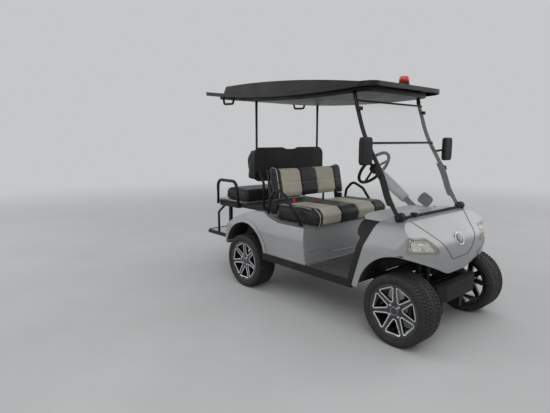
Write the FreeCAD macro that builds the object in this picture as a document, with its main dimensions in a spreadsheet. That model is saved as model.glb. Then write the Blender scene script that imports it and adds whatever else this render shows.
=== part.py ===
import FreeCAD, Part
import math
import os
import re
from types import SimpleNamespace
from FreeCAD import Placement, Rotation, Vector

os.makedirs("parts", exist_ok=True)
doc = FreeCAD.newDocument("golf_cart")

# A four-seat golf cart on low-profile tyres. +X is forward, +Y is to the left, +Z is up.
# The row's origin is on the ground under the middle of the cart's length. Each piece is drawn
# from the middle of the rear axle or of the front axle, so a height here is above the axle line.
sizes = [
    # name, millimetres (angles in degrees)
    ("wheelbase", 1666),
    ("tyre_radius", 252),
    ("tyre_width", 210),
    ("tyre_shoulder", 14),
    ("rim_radius", 192),
    ("rim_flange", 6),
    ("bead_radius", 178),
    ("bead_width", 178),
    ("rim_wall", 6),
    ("rim_windows", 7),
    ("rim_dish", 19),
    ("hub_radius", 62),
    ("spindle_radius", 20),
    ("running_gap", 0.05),
    ("track_rear", 1004),
    ("track_front", 974),
    ("kingpin_track", 800),
    ("kingpin_radius", 12),
    ("steer_arm", 100),
    ("housing_radius", 22),
    ("footrest_reach", 855),
    ("body_half_width", 598),
    ("panel_wall", 5),
    ("trim_wall", 16),
    ("trim_reach", 24),
    ("lamp_depth", 24),
    ("rail_bottom", 58),
    ("rail_height", 65),
    ("rail_inner", 200),
    ("rail_width", 50),
    ("floor_thickness", 10),
    ("cowl_back", 349),
    ("cowl_front", 168),
    ("cowl_top", 620),
    ("nose_bottom", 199),
    ("arch_top", 383),
    ("arch_gap", 43),
    ("arch_rise", 83),
    ("liner_lap", 8),
    ("kick_front", 835),
    ("seat_base", 436),
    ("seat_hump", 502),
    ("deck_top", 518),
    ("deck_thickness", 40),
    ("deck_half_width", 449),
    ("deck_back", 635.5),
    ("cushion_half_width", 500),
    ("front_cushion_height", 147),
    ("rear_cushion_height", 125),
    ("seat_gap", 0.3),
    ("front_back_top", 905),
    ("rear_back_top", 1078),
    ("rear_back_bottom", 755),
    ("hoop_radius", 12.5),
    ("post_radius", 15),
    ("post_half_track", 430),
    ("rear_post_radius", 12.5),
    ("rear_post_track", 829),
    ("roof_back", 815),
    ("roof_front", 306),
    ("roof_half_width", 510),
    ("roof_rim", 35),
    ("roof_crown", 1690),
    ("roof_edge", 1511),
    ("roof_wall", 6),
    ("tray_depth", 45),
    ("screen_thickness", 5),
    ("wheel_ring_radius", 170),
    ("wheel_grip_radius", 14),
    ("column_tilt", 36),
    ("platform_length", 400),
    ("platform_height", 148),
]

sheet = doc.addObject("Spreadsheet::Sheet", "sizes")
for row, (name, value) in enumerate(sizes, start=1):
    sheet.set(f"A{row}", name)
    sheet.set(f"B{row}", str(value))
    sheet.setAlias(f"B{row}", name)
doc.recompute()
s = SimpleNamespace(**{name: float(sheet.get(name)) for name, value in sizes})

rear_axle = "(footrest_reach - wheelbase - tyre_radius) / 2"
front_axle = "(footrest_reach + wheelbase - tyre_radius) / 2"
nodes = []


# Binds one property to an expression in the sheet's names.
def bind(item, prop, expression):
    names = {name for name, value in sizes}
    words = re.sub(r"[a-z_]+", lambda w: "sizes." + w.group() if w.group() in names else w.group(), expression)
    item.setExpression(prop, words)


# Makes an object one of the part's pieces: its label, and its place over an axle.
def piece(item, label, axle):
    item.Label = label
    bind(item, "Placement.Base.x", axle)
    bind(item, "Placement.Base.z", "tyre_radius")
    nodes.append(item)
    return item


# The lines and arcs of a closed outline. A corner is (u, v) or (u, v, radius).
def outline(corners):
    turns = []
    for index, corner in enumerate(corners):
        here = Vector(corner[0], corner[1], 0)
        radius = corner[2] if len(corner) > 2 else 0
        if not radius:
            turns.append((here, None, here))
            continue
        back = (Vector(*corners[index - 1][:2], 0) - here).normalize()
        ahead = (Vector(*corners[(index + 1) % len(corners)][:2], 0) - here).normalize()
        half = back.getAngle(ahead) / 2
        centre = here + (back + ahead).normalize() * (radius / math.sin(half))
        reach = radius / math.tan(half)
        turns.append((here + back * reach, centre + (here - centre).normalize() * radius, here + ahead * reach))
    edges = []
    for index, (start, middle, end) in enumerate(turns):
        if middle:
            edges.append(Part.Arc(start, middle, end))
        following = turns[(index + 1) % len(turns)][0]
        if (following - end).Length > 1e-4:
            edges.append(Part.LineSegment(end, following))
    return edges


turned = {
    "xy": Rotation(),
    "xz": Rotation(Vector(1, 0, 0), 90),
    "yz": Rotation(Vector(1, 1, 1), 120),
}
normals = {"xy": Vector(0, 0, 1), "xz": Vector(0, -1, 0), "yz": Vector(1, 0, 0)}


# A solid between two levels along a plane's normal, from lines and arcs drawn in that plane
# and drawn in by an inset.
def slab(plane, edges, low, high, inset=0):
    wire = Part.Wire(Part.__sortEdges__([edge.toShape() for edge in edges]))
    face = Part.Face(wire)
    if inset:
        face = face.makeOffset2D(-inset)
    face.Placement = Placement(Vector(), turned[plane])
    face.translate(normals[plane] * (low if plane != "xz" else -low))
    return face.extrude((normals[plane] if plane != "xz" else Vector(0, 1, 0)) * (high - low))


# A box between two corners.
def block(low, high):
    return Part.makeBox(high[0] - low[0], high[1] - low[1], high[2] - low[2], Vector(*low))


def cylinder(radius, start, end):
    axis = Vector(*end) - Vector(*start)
    return Part.makeCylinder(radius, axis.Length, Vector(*start), axis)


# A line through points, with an arc at each point that gives a radius.
def path(points):
    edges = []
    last = Vector(*points[0][:3])
    for index in range(1, len(points) - 1):
        here = Vector(*points[index][:3])
        radius = points[index][3]
        back = (Vector(*points[index - 1][:3]) - here).normalize()
        ahead = (Vector(*points[index + 1][:3]) - here).normalize()
        half = back.getAngle(ahead) / 2
        reach = radius / math.tan(half)
        centre = here + (back + ahead).normalize() * (radius / math.sin(half))
        middle = centre + (here - centre).normalize() * radius
        edges.append(Part.LineSegment(last, here + back * reach).toShape())
        edges.append(Part.Arc(here + back * reach, middle, here + ahead * reach).toShape())
        last = here + ahead * reach
    edges.append(Part.LineSegment(last, Vector(*points[-1][:3])).toShape())
    return Part.Wire(edges)


# A round bar along a path, hollow where a wall is given.
def tube(points, radius, wall=0):
    spine = path(points)
    start = Vector(*points[0][:3])
    along = Vector(*points[1][:3]) - start
    bar = spine.makePipeShell([Part.Wire(Part.makeCircle(radius, start, along))], True, False)
    if not wall:
        return bar
    return bar.cut(spine.makePipeShell([Part.Wire(Part.makeCircle(radius - wall, start, along))], True, False))


def mirrored(shape):
    return shape.mirror(Vector(), Vector(0, 1, 0))


# A piece whose shape is worked out here.
def formed(label, axle, shape):
    item = doc.addObject("Part::Feature", label)
    item.Shape = shape
    return piece(item, label, axle)


# A formed piece with its mirror image on the other side.
def formed_pair(label, axle, shape):
    return formed(label, axle, Part.makeCompound([shape, mirrored(shape)]))


# A sketch on one of a body's own planes.
def sketch(body, role, edges, name):
    drawing = body.newObject("Sketcher::SketchObject", name)
    planes = [item for item in body.Origin.OriginFeatures if item.Role == role]
    drawing.AttachmentSupport = (planes[0], [""])
    drawing.MapMode = "FlatFace"
    drawing.addGeometry(edges)
    return drawing


# A body turned about the Y axis, from an outline of (along the axle, radius).
def turned_body(label, axle, edges):
    body = doc.addObject("PartDesign::Body", label)
    profile = sketch(body, "YZ_Plane", edges, label + "_profile")
    turn = body.newObject("PartDesign::Revolution", label + "_turn")
    turn.Profile = profile
    turn.ReferenceAxis = ([item for item in body.Origin.OriginFeatures if item.Role == "Y_Axis"][0], [""])
    turn.Angle = 360
    doc.recompute()
    return piece(body, label, axle)


# Wheels. "side" is 1 on the left and -1 on the right.
corners = [
    # name, axle, track, side
    ("front_right", front_axle, "track_front", -1),
    ("front_left", front_axle, "track_front", 1),
    ("rear_right", rear_axle, "track_rear", -1),
    ("rear_left", rear_axle, "track_rear", 1),
]


# Half a tyre's section mirrored about the wheel's middle plane.
def tyre_section():
    bead = s.bead_width / 2 - s.rim_flange / 2 - 0.5
    wide = s.tyre_width / 2
    side = [
        (bead, s.bead_radius + 0.3),
        (bead, s.rim_radius),
        (wide, s.rim_radius + 22, 16),
        (wide - 8, s.tyre_radius - 10, 10),
        (wide - 8 - s.tyre_shoulder, s.tyre_radius, 8),
    ]
    far = [(-corner[0],) + corner[1:] for corner in reversed(side)]
    return outline(side + far)


for name, axle, track, side in corners:
    tyre = turned_body("tyre_" + name, axle, tyre_section())
    bind(tyre, "Placement.Base.y", f"{side} * {track} / 2")


# A rim: a barrel with a flange at each edge, a dished face and a hub with a blind bore.
def rim_section():
    half = s.bead_width / 2
    face = s.tyre_width / 2 - s.rim_dish
    return outline([
        (-half, s.rim_radius, 2),
        (-half - s.rim_flange, s.rim_radius, 2),
        (-half - s.rim_flange, s.bead_radius - s.rim_wall),
        (face - 24, s.bead_radius - s.rim_wall, 6),
        (face - 40, s.hub_radius, 6),
        (10, s.hub_radius),
        (10, s.spindle_radius + s.running_gap),
        (face - 24, s.spindle_radius + s.running_gap),
        (face - 24, 0),
        (face - 6, 0),
        (face - 6, s.hub_radius / 2),
        (face - 14, s.hub_radius, 4),
        (face, s.bead_radius - 14, 4),
        (half + s.rim_flange, s.rim_radius - 8, 3),
        (half + s.rim_flange, s.rim_radius, 2),
        (half, s.rim_radius),
        (half, s.bead_radius),
        (-half, s.bead_radius),
    ])


# The outline of one window between the spokes, in the wheel's plane.
def window_edges():
    pitch = math.radians(360 / s.rim_windows)
    inner = s.hub_radius + 12
    outer = s.bead_radius - s.rim_wall - 6
    spread = [0.16 * pitch, 0.36 * pitch]
    return outline([
        (-inner * math.sin(spread[0]), inner * math.cos(spread[0]), 5),
        (-outer * math.sin(spread[1]), outer * math.cos(spread[1]), 8),
        (outer * math.sin(spread[1]), outer * math.cos(spread[1]), 8),
        (inner * math.sin(spread[0]), inner * math.cos(spread[0]), 5),
    ])


for name, axle, track, side in corners:
    label = "rim_" + name
    rim = turned_body(label, axle, rim_section())
    window = rim.newObject("PartDesign::Pocket", label + "_window")
    window.Profile = sketch(rim, "XZ_Plane", window_edges(), label + "_window_outline")
    window.Type = 1
    window.Midplane = True
    around = rim.newObject("PartDesign::PolarPattern", label + "_windows")
    around.Originals = [window]
    around.Axis = ([item for item in rim.Origin.OriginFeatures if item.Role == "Y_Axis"][0], [""])
    around.Angle = 360
    bind(around, "Occurrences", "rim_windows")
    rim.Tip = around
    bind(rim, "Placement.Base.y", f"{side} * {track} / 2")
    if side < 0:
        rim.Placement.Rotation = Rotation(Vector(0, 0, 1), 180)

# Rear axle: tubes, the final drive's housing, brake drums and the spindles that the rims turn on.
hub_face = s.track_rear / 2 + s.tyre_width / 2 - s.rim_dish - 26
drum = s.track_rear / 2 - 30
axle_half = cylinder(34, (0, 60, 0), (0, drum - 60, 0))
axle_half = axle_half.fuse(cylinder(92, (0, drum - 60, 0), (0, drum, 0)))
axle_half = axle_half.fuse(cylinder(s.spindle_radius, (0, drum, 0), (0, hub_face, 0)))
housing = Part.makeSphere(105, Vector(0, 0, 0)).common(block((-105, -80, -105), (105, 80, 105)))
formed("rear_axle", rear_axle, housing.fuse([axle_half, mirrored(axle_half)]).removeSplitter())
formed("drive_motor", rear_axle, block((105.5, -85, -75), (305, 85, 50)))

# Leaf springs between the axle and the rails.
spring_out = s.rail_inner + s.rail_width
leaf = slab("xz", outline([
    (-330, s.rail_bottom - 8), (-300, s.rail_bottom - 8), (-60, 46, 200), (60, 46, 200),
    (300, s.rail_bottom - 8), (330, s.rail_bottom - 8), (330, s.rail_bottom - 20),
    (300, s.rail_bottom - 20), (60, 34, 200), (-60, 34, 200), (-300, s.rail_bottom - 20),
    (-330, s.rail_bottom - 20),
]), spring_out - 45, spring_out + 5)
eyes = [cylinder(14, (x, spring_out - 45, s.rail_bottom - 14), (x, spring_out + 5, s.rail_bottom - 14)) for x in (-330, 330)]
formed_pair("rear_springs", rear_axle, leaf.fuse(eyes).removeSplitter())

# Chassis: two rails with cross-members, and the towers over the front axle.
rail_top = s.rail_bottom + s.rail_height
reach = s.wheelbase + 120
rail = block((-480, s.rail_inner, s.rail_bottom), (reach, s.rail_inner + s.rail_width, rail_top))
members = [
    # back, front
    (-480, -440),
    (330, 370),
    (800, 840),
    (s.wheelbase - 350, s.wheelbase - 310),
    (s.wheelbase - 50, s.wheelbase + 50),
    (reach - 40, reach),
]
crosses = [block((back, -s.rail_inner, s.rail_bottom), (front, s.rail_inner, rail_top)) for back, front in members]
tower = block((s.wheelbase - 45, s.rail_inner, rail_top), (s.wheelbase + 45, s.rail_inner + 40, 320))
tower = tower.fuse(block((s.wheelbase - 32, s.rail_inner, 300), (s.wheelbase + 32, s.rail_inner + 88, 320)))
beam = block((s.wheelbase - 25, -s.rail_inner, 280), (s.wheelbase + 25, s.rail_inner, 320))
arm_seat = block((s.wheelbase - 120, 120, -105), (s.wheelbase + 120, 160, s.rail_bottom))
saddle = block((s.wheelbase - 50, 120, s.rail_bottom), (s.wheelbase + 50, 160, rail_top))
frame = rail.fuse([mirrored(rail), beam, tower, mirrored(tower), arm_seat, mirrored(arm_seat)] + crosses)
frame = frame.fuse([saddle, mirrored(saddle)]).removeSplitter()
rack_x = -s.steer_arm
rod_z = -18.5
frame = frame.cut(cylinder(s.housing_radius, (s.wheelbase + rack_x, -300, rod_z), (s.wheelbase + rack_x, 300, rod_z)))
formed("chassis_frame", rear_axle, frame)

# Floor: a flat pan and a sloped toe board.
floor_top = rail_top + s.floor_thickness
floor_half = s.body_half_width - s.trim_wall - s.seat_gap
cowl_back = s.wheelbase - s.cowl_back
floor_outline = outline([
    (s.kick_front + 8, rail_top), (cowl_back + 6, rail_top, 20), (cowl_back + 56, 470),
    (cowl_back + 46, 470), (cowl_back - 4, floor_top, 20), (s.kick_front + 8, floor_top),
])
floor = slab("xz", floor_outline, -floor_half, floor_half)

# Rockers along the floor's edges.
rocker_low = 78
rocker_top = 140
rocker_in = floor_half + s.seat_gap
rocker = block((290, rocker_in, rocker_low), (s.kick_front + 8, s.body_half_width + 4, rocker_top))
rocker = rocker.fuse(block((s.kick_front + 8, rocker_in, rocker_low), (cowl_back - 2, s.body_half_width + 4, floor_top)))
formed_pair("rocker_trims", rear_axle, rocker.removeSplitter())


# Rear body: the fenders, the seat base and the apron, as one block less a smaller one that is open
# below and ahead.
def rear_block(inset):
    open_by = 40 if inset else 0
    front = s.kick_front + open_by
    side = slab("xz", outline([
        (-275, 140 - open_by), (front, 140 - open_by), (front - 40, s.seat_base), (480, s.seat_base, 60),
        (340, s.seat_hump - 34, 40), (270, s.seat_hump, 30), (180, s.seat_hump, 60), (40, deck_low, 60),
        (-140, 415, 60), (-275, 320, 50),
    ]), -700, 700, inset)
    wide = s.body_half_width
    front = slab("yz", outline([
        (-wide, 0), (-wide, 330, 120), (-wide + 40, 520), (-wide + 60, 560),
        (wide - 60, 560), (wide - 40, 520), (wide, 330, 120), (wide, 0),
    ]), -400, 1000, inset)
    half = s.cushion_half_width + 10 + inset
    well = block((-400, -half, deck_low - inset), (1000, half, 700))
    seat_well = block((335 - inset, -half, s.seat_base - inset), (1000, half, 700))
    return side.common(front).cut([well, seat_well])


deck_low = s.deck_top - s.deck_thickness
arch_radius = s.tyre_radius + s.arch_gap
arch = cylinder(arch_radius, (20, -700, s.arch_rise), (20, 700, s.arch_rise))
arch = arch.cut(block((-400, -380, -400), (400, 380, 500)))
bay = block((345, -430, 300), (s.kick_front - 60, 430, 600))
shell = rear_block(0).cut(rear_block(s.panel_wall)).cut([arch, bay])
formed("rear_body", rear_axle, shell)

# Kick panel under the front of the seat.
kick = slab("xz", outline([
    (s.kick_front - 4, rail_top), (s.kick_front + 2, rail_top), (s.kick_front + 2, 150),
    (s.kick_front - 38, s.seat_base - s.panel_wall - 0.3), (s.kick_front - 44, s.seat_base - s.panel_wall - 0.3),
    (s.kick_front - 4, 150),
]), -s.body_half_width, s.body_half_width).common(rear_block(s.panel_wall + s.seat_gap))
sill = block((0, rocker_in - s.seat_gap, 0), (1000, 700, rocker_top + s.seat_gap))
formed("kick_panel", rear_axle, kick.cut([sill, mirrored(sill)]))

# Battery under the seat, on the rails.
formed("battery_pack", rear_axle, block((360, -280, rail_top), (760, 280, 380)))


# The cowl as it looks from ahead.
def cowl_front(inset, back=-500, front=400):
    wide = s.body_half_width
    top = s.cowl_top + 2
    return slab("yz", outline([
        (-wide, -80), (-wide, 410, 140), (-wide + 80, 575, 120), (-300, top, 300), (300, top, 300),
        (wide - 80, 575, 120), (wide, 410, 140), (wide, -80),
    ]), back, front, inset)


# Front cowl: a nose rounded in plan, from the side and from ahead. The smaller block that hollows
# it is open below and behind.
def cowl_block(inset):
    open_by = 60 if inset else 0
    back = -s.cowl_back - open_by
    nose = s.cowl_front
    wide = s.body_half_width
    top = s.cowl_top
    side = slab("xz", outline([
        (back, 100 - open_by), (back + 45, 455), (back + 75, top - 60, 40), (back + 100, top, 20),
        (-36, top - 10, 160), (nose - 12, 445, 100), (nose, 360, 80), (nose - 26, s.nose_bottom),
        (nose - 60, 100 - open_by),
    ]), -700, 700, inset)
    plan = slab("xy", outline([
        (back, -wide), (20, -wide, 160), (nose - 50, -480, 120), (nose, -300, 220),
        (nose, 300, 220), (nose - 50, 480, 120), (20, wide, 160), (back, wide),
    ]), 0, 800, inset)
    return side.common(plan).common(cowl_front(inset))


def cowl_arch(low_y, high_y):
    arc = Part.Arc(Vector(-s.cowl_back + 9, 130, 0), Vector(-165, 323, 0), Vector(0, s.arch_top, 0))
    edges = [
        arc,
        Part.LineSegment(Vector(0, s.arch_top, 0), Vector(300, s.arch_top, 0)),
        Part.LineSegment(Vector(300, s.arch_top, 0), Vector(300, -100, 0)),
        Part.LineSegment(Vector(300, -100, 0), Vector(-s.cowl_back + 9, -100, 0)),
        Part.LineSegment(Vector(-s.cowl_back + 9, -100, 0), Vector(-s.cowl_back + 9, 130, 0)),
    ]
    return slab("xz", edges, low_y, high_y)


cowl = cowl_block(0).cut(cowl_block(s.panel_wall))
cowl_skin = cowl_block(0).cut(cowl_block(s.panel_wall + s.seat_gap))
trim_skin = cowl_block(0).cut(cowl_block(s.trim_wall + s.seat_gap))
trim_skin.translate(Vector(-s.trim_reach, 0, 0))
skins = Part.makeCompound([cowl_skin, trim_skin])
floor_zone = cowl_front(s.trim_wall + s.seat_gap, -1000, 0)
floor_zone.translate(Vector(s.wheelbase, 0, 0))
formed("floor_pan", rear_axle, floor.common(floor_zone))
wedge = slab("yz", outline([(140, 0), (140, 190), (450, s.arch_top), (700, s.arch_top), (700, 0)]), -100, 400)
under = block((-s.cowl_back - 10, -s.body_half_width + 30, 0), (100, s.body_half_width - 30, s.nose_bottom))
cowl = cowl.cut([cowl_arch(300, 700), cowl_arch(-700, -300), wedge, mirrored(wedge), under])
bonnet_zone = slab("yz", outline([
    (-330, 700), (-275, 500, 120), (-130, 316, 70), (130, 316, 70), (275, 500, 120), (330, 700),
]), -30, 300)
lamp_zone = slab("xz", outline([(30, 402, 8), (36, 500, 8), (110, 500, 20), (170, 402, 8)]), 310, 700)
lamp_zones = [lamp_zone, mirrored(lamp_zone)]
formed("front_cowl", front_axle, cowl.cut([bonnet_zone] + lamp_zones))
formed("bonnet_panel", front_axle, cowl.common(bonnet_zone))

# Black trim that caps the cowl's rear edge.
trim = cowl_block(0).cut(cowl_block(s.trim_wall))
trim.translate(Vector(-s.trim_reach, 0, 0))
trim = trim.cut([cowl_block(0), block((-700, -440, 0), (0, 440, 560))])
trim = trim.common(block((-700, -700, floor_top), (0, 700, 800)))
formed("cowl_trim", front_axle, trim)

# Dash between the cowl's sides, with the instrument pod on top.
dash = slab("xz", outline([
    (-262, 478), (-262, s.cowl_top - 12), (-400, s.cowl_top - 6, 20), (-430, s.cowl_top - 60, 20), (-385, 478, 20),
]), -s.body_half_width, s.body_half_width)
dash = dash.common(cowl_front(s.trim_wall + s.seat_gap)).cut(skins)
formed("dash_panel", front_axle, dash)

# Lamps.
lens = cowl_block(0).cut(cowl_block(s.lamp_depth)).common(lamp_zone)
formed_pair("headlamps", front_axle, lens)
tail = block((-283, 430, 240), (-275, 520, 310))
formed_pair("tail_lamps", rear_axle, tail)

# Bumper between the front wheels.
bumper = slab("xy", outline([
    (120.3, -280), (120.3, 280), (150, 280, 20), (182, 200, 60), (182, -200, 60), (150, -280, 20),
]), 20, 140)
formed("front_bumper", front_axle, bumper)

# Liners over the wheels: thin arched sheets inside the panels, just outside the openings.
liner_back = s.cowl_back - 9 + s.liner_lap
liner_top = s.arch_top + s.liner_lap
liner = slab("xz", [
    Part.Arc(Vector(-liner_back, 130, 0), Vector(-165 - s.liner_lap * 0.7, 323 + s.liner_lap * 0.7, 0), Vector(0, liner_top, 0)),
    Part.LineSegment(Vector(0, liner_top, 0), Vector(300, liner_top, 0)),
    Part.LineSegment(Vector(300, liner_top, 0), Vector(300, liner_top + 3, 0)),
    Part.LineSegment(Vector(300, liner_top + 3, 0), Vector(0, liner_top + 3, 0)),
    Part.Arc(Vector(0, liner_top + 3, 0), Vector(-167 - s.liner_lap * 0.7, 325 + s.liner_lap * 0.7, 0), Vector(-liner_back - 3, 130, 0)),
    Part.LineSegment(Vector(-liner_back - 3, 130, 0), Vector(-liner_back, 130, 0)),
], 262, 700).common(cowl_block(s.panel_wall + s.seat_gap))
liner.translate(Vector(s.wheelbase, 0, 0))
liner = liner.cut(slab("xz", floor_outline, -700, 700, -s.seat_gap))
rear_liner = cylinder(arch_radius + s.liner_lap, (20, 372, s.arch_rise), (20, 700, s.arch_rise))
rear_liner = rear_liner.cut(cylinder(arch_radius + s.liner_lap - 3, (20, 300, s.arch_rise), (20, 800, s.arch_rise)))
rear_liner = rear_liner.common(rear_block(s.panel_wall + s.seat_gap)).common(block((-400, 300, 155), (400, 700, 700)))
formed("wheel_liners", rear_axle, Part.makeCompound([liner, mirrored(liner), rear_liner, mirrored(rear_liner)]))


# Height of the roof's rim and of its crown at a place along the cart, as two long arcs.
def rim_height(x):
    return s.roof_edge + 4.57e-5 * (x - 724) ** 2


def crown_height(x):
    return s.roof_crown - 4.26e-5 * (x + 450) ** 2


def arc_over(height, back, front, rise=0):
    middle = (back + front) / 2
    return Part.Arc(*[Vector(x, height(x) + rise, 0) for x in (back, middle, front)])


# A closed outline between two of those arcs.
def band(low, low_rise, high, high_rise, back, front):
    return [
        arc_over(low, back, front, low_rise),
        Part.LineSegment(Vector(front, low(front) + low_rise, 0), Vector(front, high(front) + high_rise, 0)),
        arc_over(high, back, front, high_rise),
        Part.LineSegment(Vector(back, high(back) + high_rise, 0), Vector(back, low(back) + low_rise, 0)),
    ]


def plan_outline(back, front, half, radius):
    return outline([(back, -half, radius), (front, -half, radius), (front, half, radius), (back, half, radius)])


roof_front = s.wheelbase - s.roof_front


# The canopy: a rim all round with a raised crown inside it.
def canopy(inset):
    drop = -60 if inset else 0
    plan = slab("xy", plan_outline(-s.roof_back + inset, roof_front - inset, s.roof_half_width - inset, 110), 1300, 1800)
    rim = slab("xz", band(rim_height, drop, rim_height, s.roof_rim - inset, -s.roof_back - 50, roof_front + 50), -600, 600)
    rim = rim.common(plan)
    half = s.roof_half_width - 60 - inset
    foot = Part.Wire([edge.toShape() for edge in plan_outline(-s.roof_back + 90 + inset, roof_front - 60 - inset, half, 90)])
    head = Part.Wire([edge.toShape() for edge in plan_outline(-s.roof_back + 240 + inset, roof_front - 160 - inset, half - 70, 90)])
    foot.translate(Vector(0, 0, 1400))
    head.translate(Vector(0, 0, 1760))
    crown = Part.makeLoft([foot, head], True, True)
    top = slab("xz", band(rim_height, drop, crown_height, -inset, -s.roof_back - 50, roof_front + 50), -600, 600)
    return rim.fuse(crown.common(top))


roof_shell = canopy(0).cut(canopy(s.roof_wall))
formed("roof_canopy", rear_axle, roof_shell.removeSplitter())

# The tray under the canopy, which the posts carry.
tray_half = s.roof_half_width - 80
tray_plan = slab("xy", plan_outline(-s.roof_back + 160, roof_front - 90, tray_half, 80), 1200, 1800)
tray = slab("xz", band(rim_height, -s.tray_depth, rim_height, s.roof_rim - s.roof_wall - s.seat_gap, -s.roof_back, roof_front), -600, 600).common(tray_plan)
hollow_plan = slab("xy", plan_outline(-s.roof_back + 166, roof_front - 96, tray_half - 6, 74), 1200, 1800)
hollow = slab("xz", band(rim_height, 6 - s.tray_depth, rim_height, 60, -s.roof_back, roof_front), -600, 600).common(hollow_plan)
formed("roof_tray", rear_axle, tray.cut(hollow))

# Grab handles under the roof's rear corners.
handle_y = s.roof_half_width - 25
handle_z = rim_height(-360) - 2
handle = tube([(-460, handle_y, handle_z + 60), (-440, handle_y, handle_z - 62, 22), (-300, handle_y, handle_z - 66, 22),
               (-262, handle_y, handle_z + 60)], 8)
handle_top = s.roof_rim - s.roof_wall - s.seat_gap
handle = handle.cut(slab("xz", band(rim_height, handle_top, rim_height, 200, -s.roof_back, roof_front), -600, 600))
formed_pair("roof_handles", rear_axle, handle)

# Posts. The front pair leans back in a shallow S with a thick grip sleeve; the rear pair is upright.
post_top = rim_height(s.wheelbase - 501) - s.tray_depth - 0.3
post_line = [(-74, s.cowl_top - 25), (-169, 733, 400), (-226, 893, 700), (-404, 1183, 900), (-501, 1475)]
post_points = [(u, s.post_half_track, *rest) for u, *rest in post_line]


# A strip along the front posts between two distances ahead of them.
def pane_outline(near, far):
    inner = [(u + near, v, *rest) for u, v, *rest in post_line]
    outer = [(u + far, v, *rest) for u, v, *rest in reversed(post_line)]
    return outline(inner + outer)


post = tube(post_points, s.post_radius)
sleeve_points = [(u - 9, *rest) for u, *rest in post_points]
sleeve = tube(sleeve_points, s.post_radius + 8).common(block((-400, 300, 745), (0, 600, 885)))
foot_mount = cylinder(30, (-74, s.post_half_track, s.cowl_top - 45), (-74, s.post_half_track, s.cowl_top - 5))
mount_skin = cowl_block(0)
ahead = s.post_radius / math.cos(math.radians(30)) + 2
post = post.fuse([sleeve, foot_mount]).cut(mount_skin)
post = post.cut(block((-700, 300, post_top), (-300, 600, 1700)))
formed_pair("front_posts", front_axle, post)
rear_post_y = s.rear_post_track / 2
rear_post = tube([(-15, rear_post_y, s.deck_top + 0.3), (-15, rear_post_y, rim_height(s.rear_post_radius - 15) - s.tray_depth - 0.3)], s.rear_post_radius)
formed_pair("rear_posts", rear_axle, rear_post)

# Windscreen in two panes that follow the posts, ahead of them.
screen = slab("xz", pane_outline(ahead, ahead + s.screen_thickness * 1.15), -s.post_half_track, s.post_half_track)
lower = screen.common(block((-700, -500, s.cowl_top + 22), (100, 500, 1126)))
upper = screen.common(block((-700, -500, 1129), (100, 500, 1440)))
formed("windscreen", front_axle, Part.makeCompound([lower, upper]))
seal = block((-90, -400, s.cowl_top - 8), (-20, 400, s.cowl_top + 21.7)).cut(mount_skin)
clip = block((-486, s.post_half_track - 24, 1364), (-430, s.post_half_track + 24, 1392)).cut([screen, tube(post_points, s.post_radius)])
formed("screen_seal", front_axle, Part.makeCompound([seal.cut(screen), clip, mirrored(clip)]))

# Mirrors on stems from the front posts.
housing = slab("yz", outline([(500, 976, 24), (500, 1170, 24), (622, 1170, 24), (622, 976, 24)]), -311, -271)
stem = tube([(-340, s.post_half_track + s.post_radius - 3, 1060), (-291, 506, 1066)], 9)
formed_pair("mirrors", front_axle, housing.fuse(stem).cut(tube(post_points, s.post_radius + 0.2)))

# Beacon on the roof's front.
beacon_x = s.roof_front + 60
beacon_z = crown_height(s.wheelbase - beacon_x) - 20
beacon = cylinder(43, (-beacon_x, 0, beacon_z), (-beacon_x, 0, beacon_z + 20))
beacon = beacon.fuse(cylinder(38, (-beacon_x, 0, beacon_z + 20), (-beacon_x, 0, beacon_z + 98)))
canopy_solid = canopy(0)
canopy_solid.translate(Vector(-s.wheelbase, 0, 0))
formed("beacon", front_axle, beacon.cut(canopy_solid))

# Front seat.
seat_y = s.cushion_half_width
cushion_bottom = s.seat_base + s.seat_gap
cushion_top = cushion_bottom + s.front_cushion_height
cushion = slab("xz", outline([
    (342, cushion_bottom), (875, cushion_bottom, 20), (885, cushion_top - 30, 40), (800, cushion_top, 60),
    (342, cushion_top - 10, 20),
]), -seat_y, seat_y)
formed("front_seat_cushion", rear_axle, cushion)
backrest = slab("xz", outline([
    (262, 606, 20), (345, 606, 20), (285, 880, 40), (270, s.front_back_top, 20), (195, s.front_back_top, 20), (215, 800),
]), -seat_y, seat_y)
formed("front_seat_back", rear_axle, backrest)
support = slab("xz", outline([(240, deck_low), (320, deck_low), (320, 605.7), (262, 605.7), (214, 800), (195, 880), (175, 880), (200, 700)]), 440, 452)
formed_pair("seat_supports", rear_axle, support.cut(backrest))

# Tube hoops: a hip restraint at each end of the front seat, an armrest at each end of the rear one.
hoop_y = seat_y + 12 + s.hoop_radius
hip = tube([(290, hoop_y, s.seat_hump), (318, hoop_y, 640, 60), (400, hoop_y, 722, 60), (530, hoop_y, 668, 90),
            (725, hoop_y, s.seat_base)], s.hoop_radius).cut(rear_block(0))
arm_y = s.deck_half_width + 0.3 + s.hoop_radius
arm = tube([(-615, arm_y, 482), (-615, arm_y, 722, 60), (-290, arm_y, 722, 60), (-248, arm_y, 482)], s.hoop_radius)
formed("armrest_hoops", rear_axle, Part.makeCompound([hip, mirrored(hip), arm, mirrored(arm)]))

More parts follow.
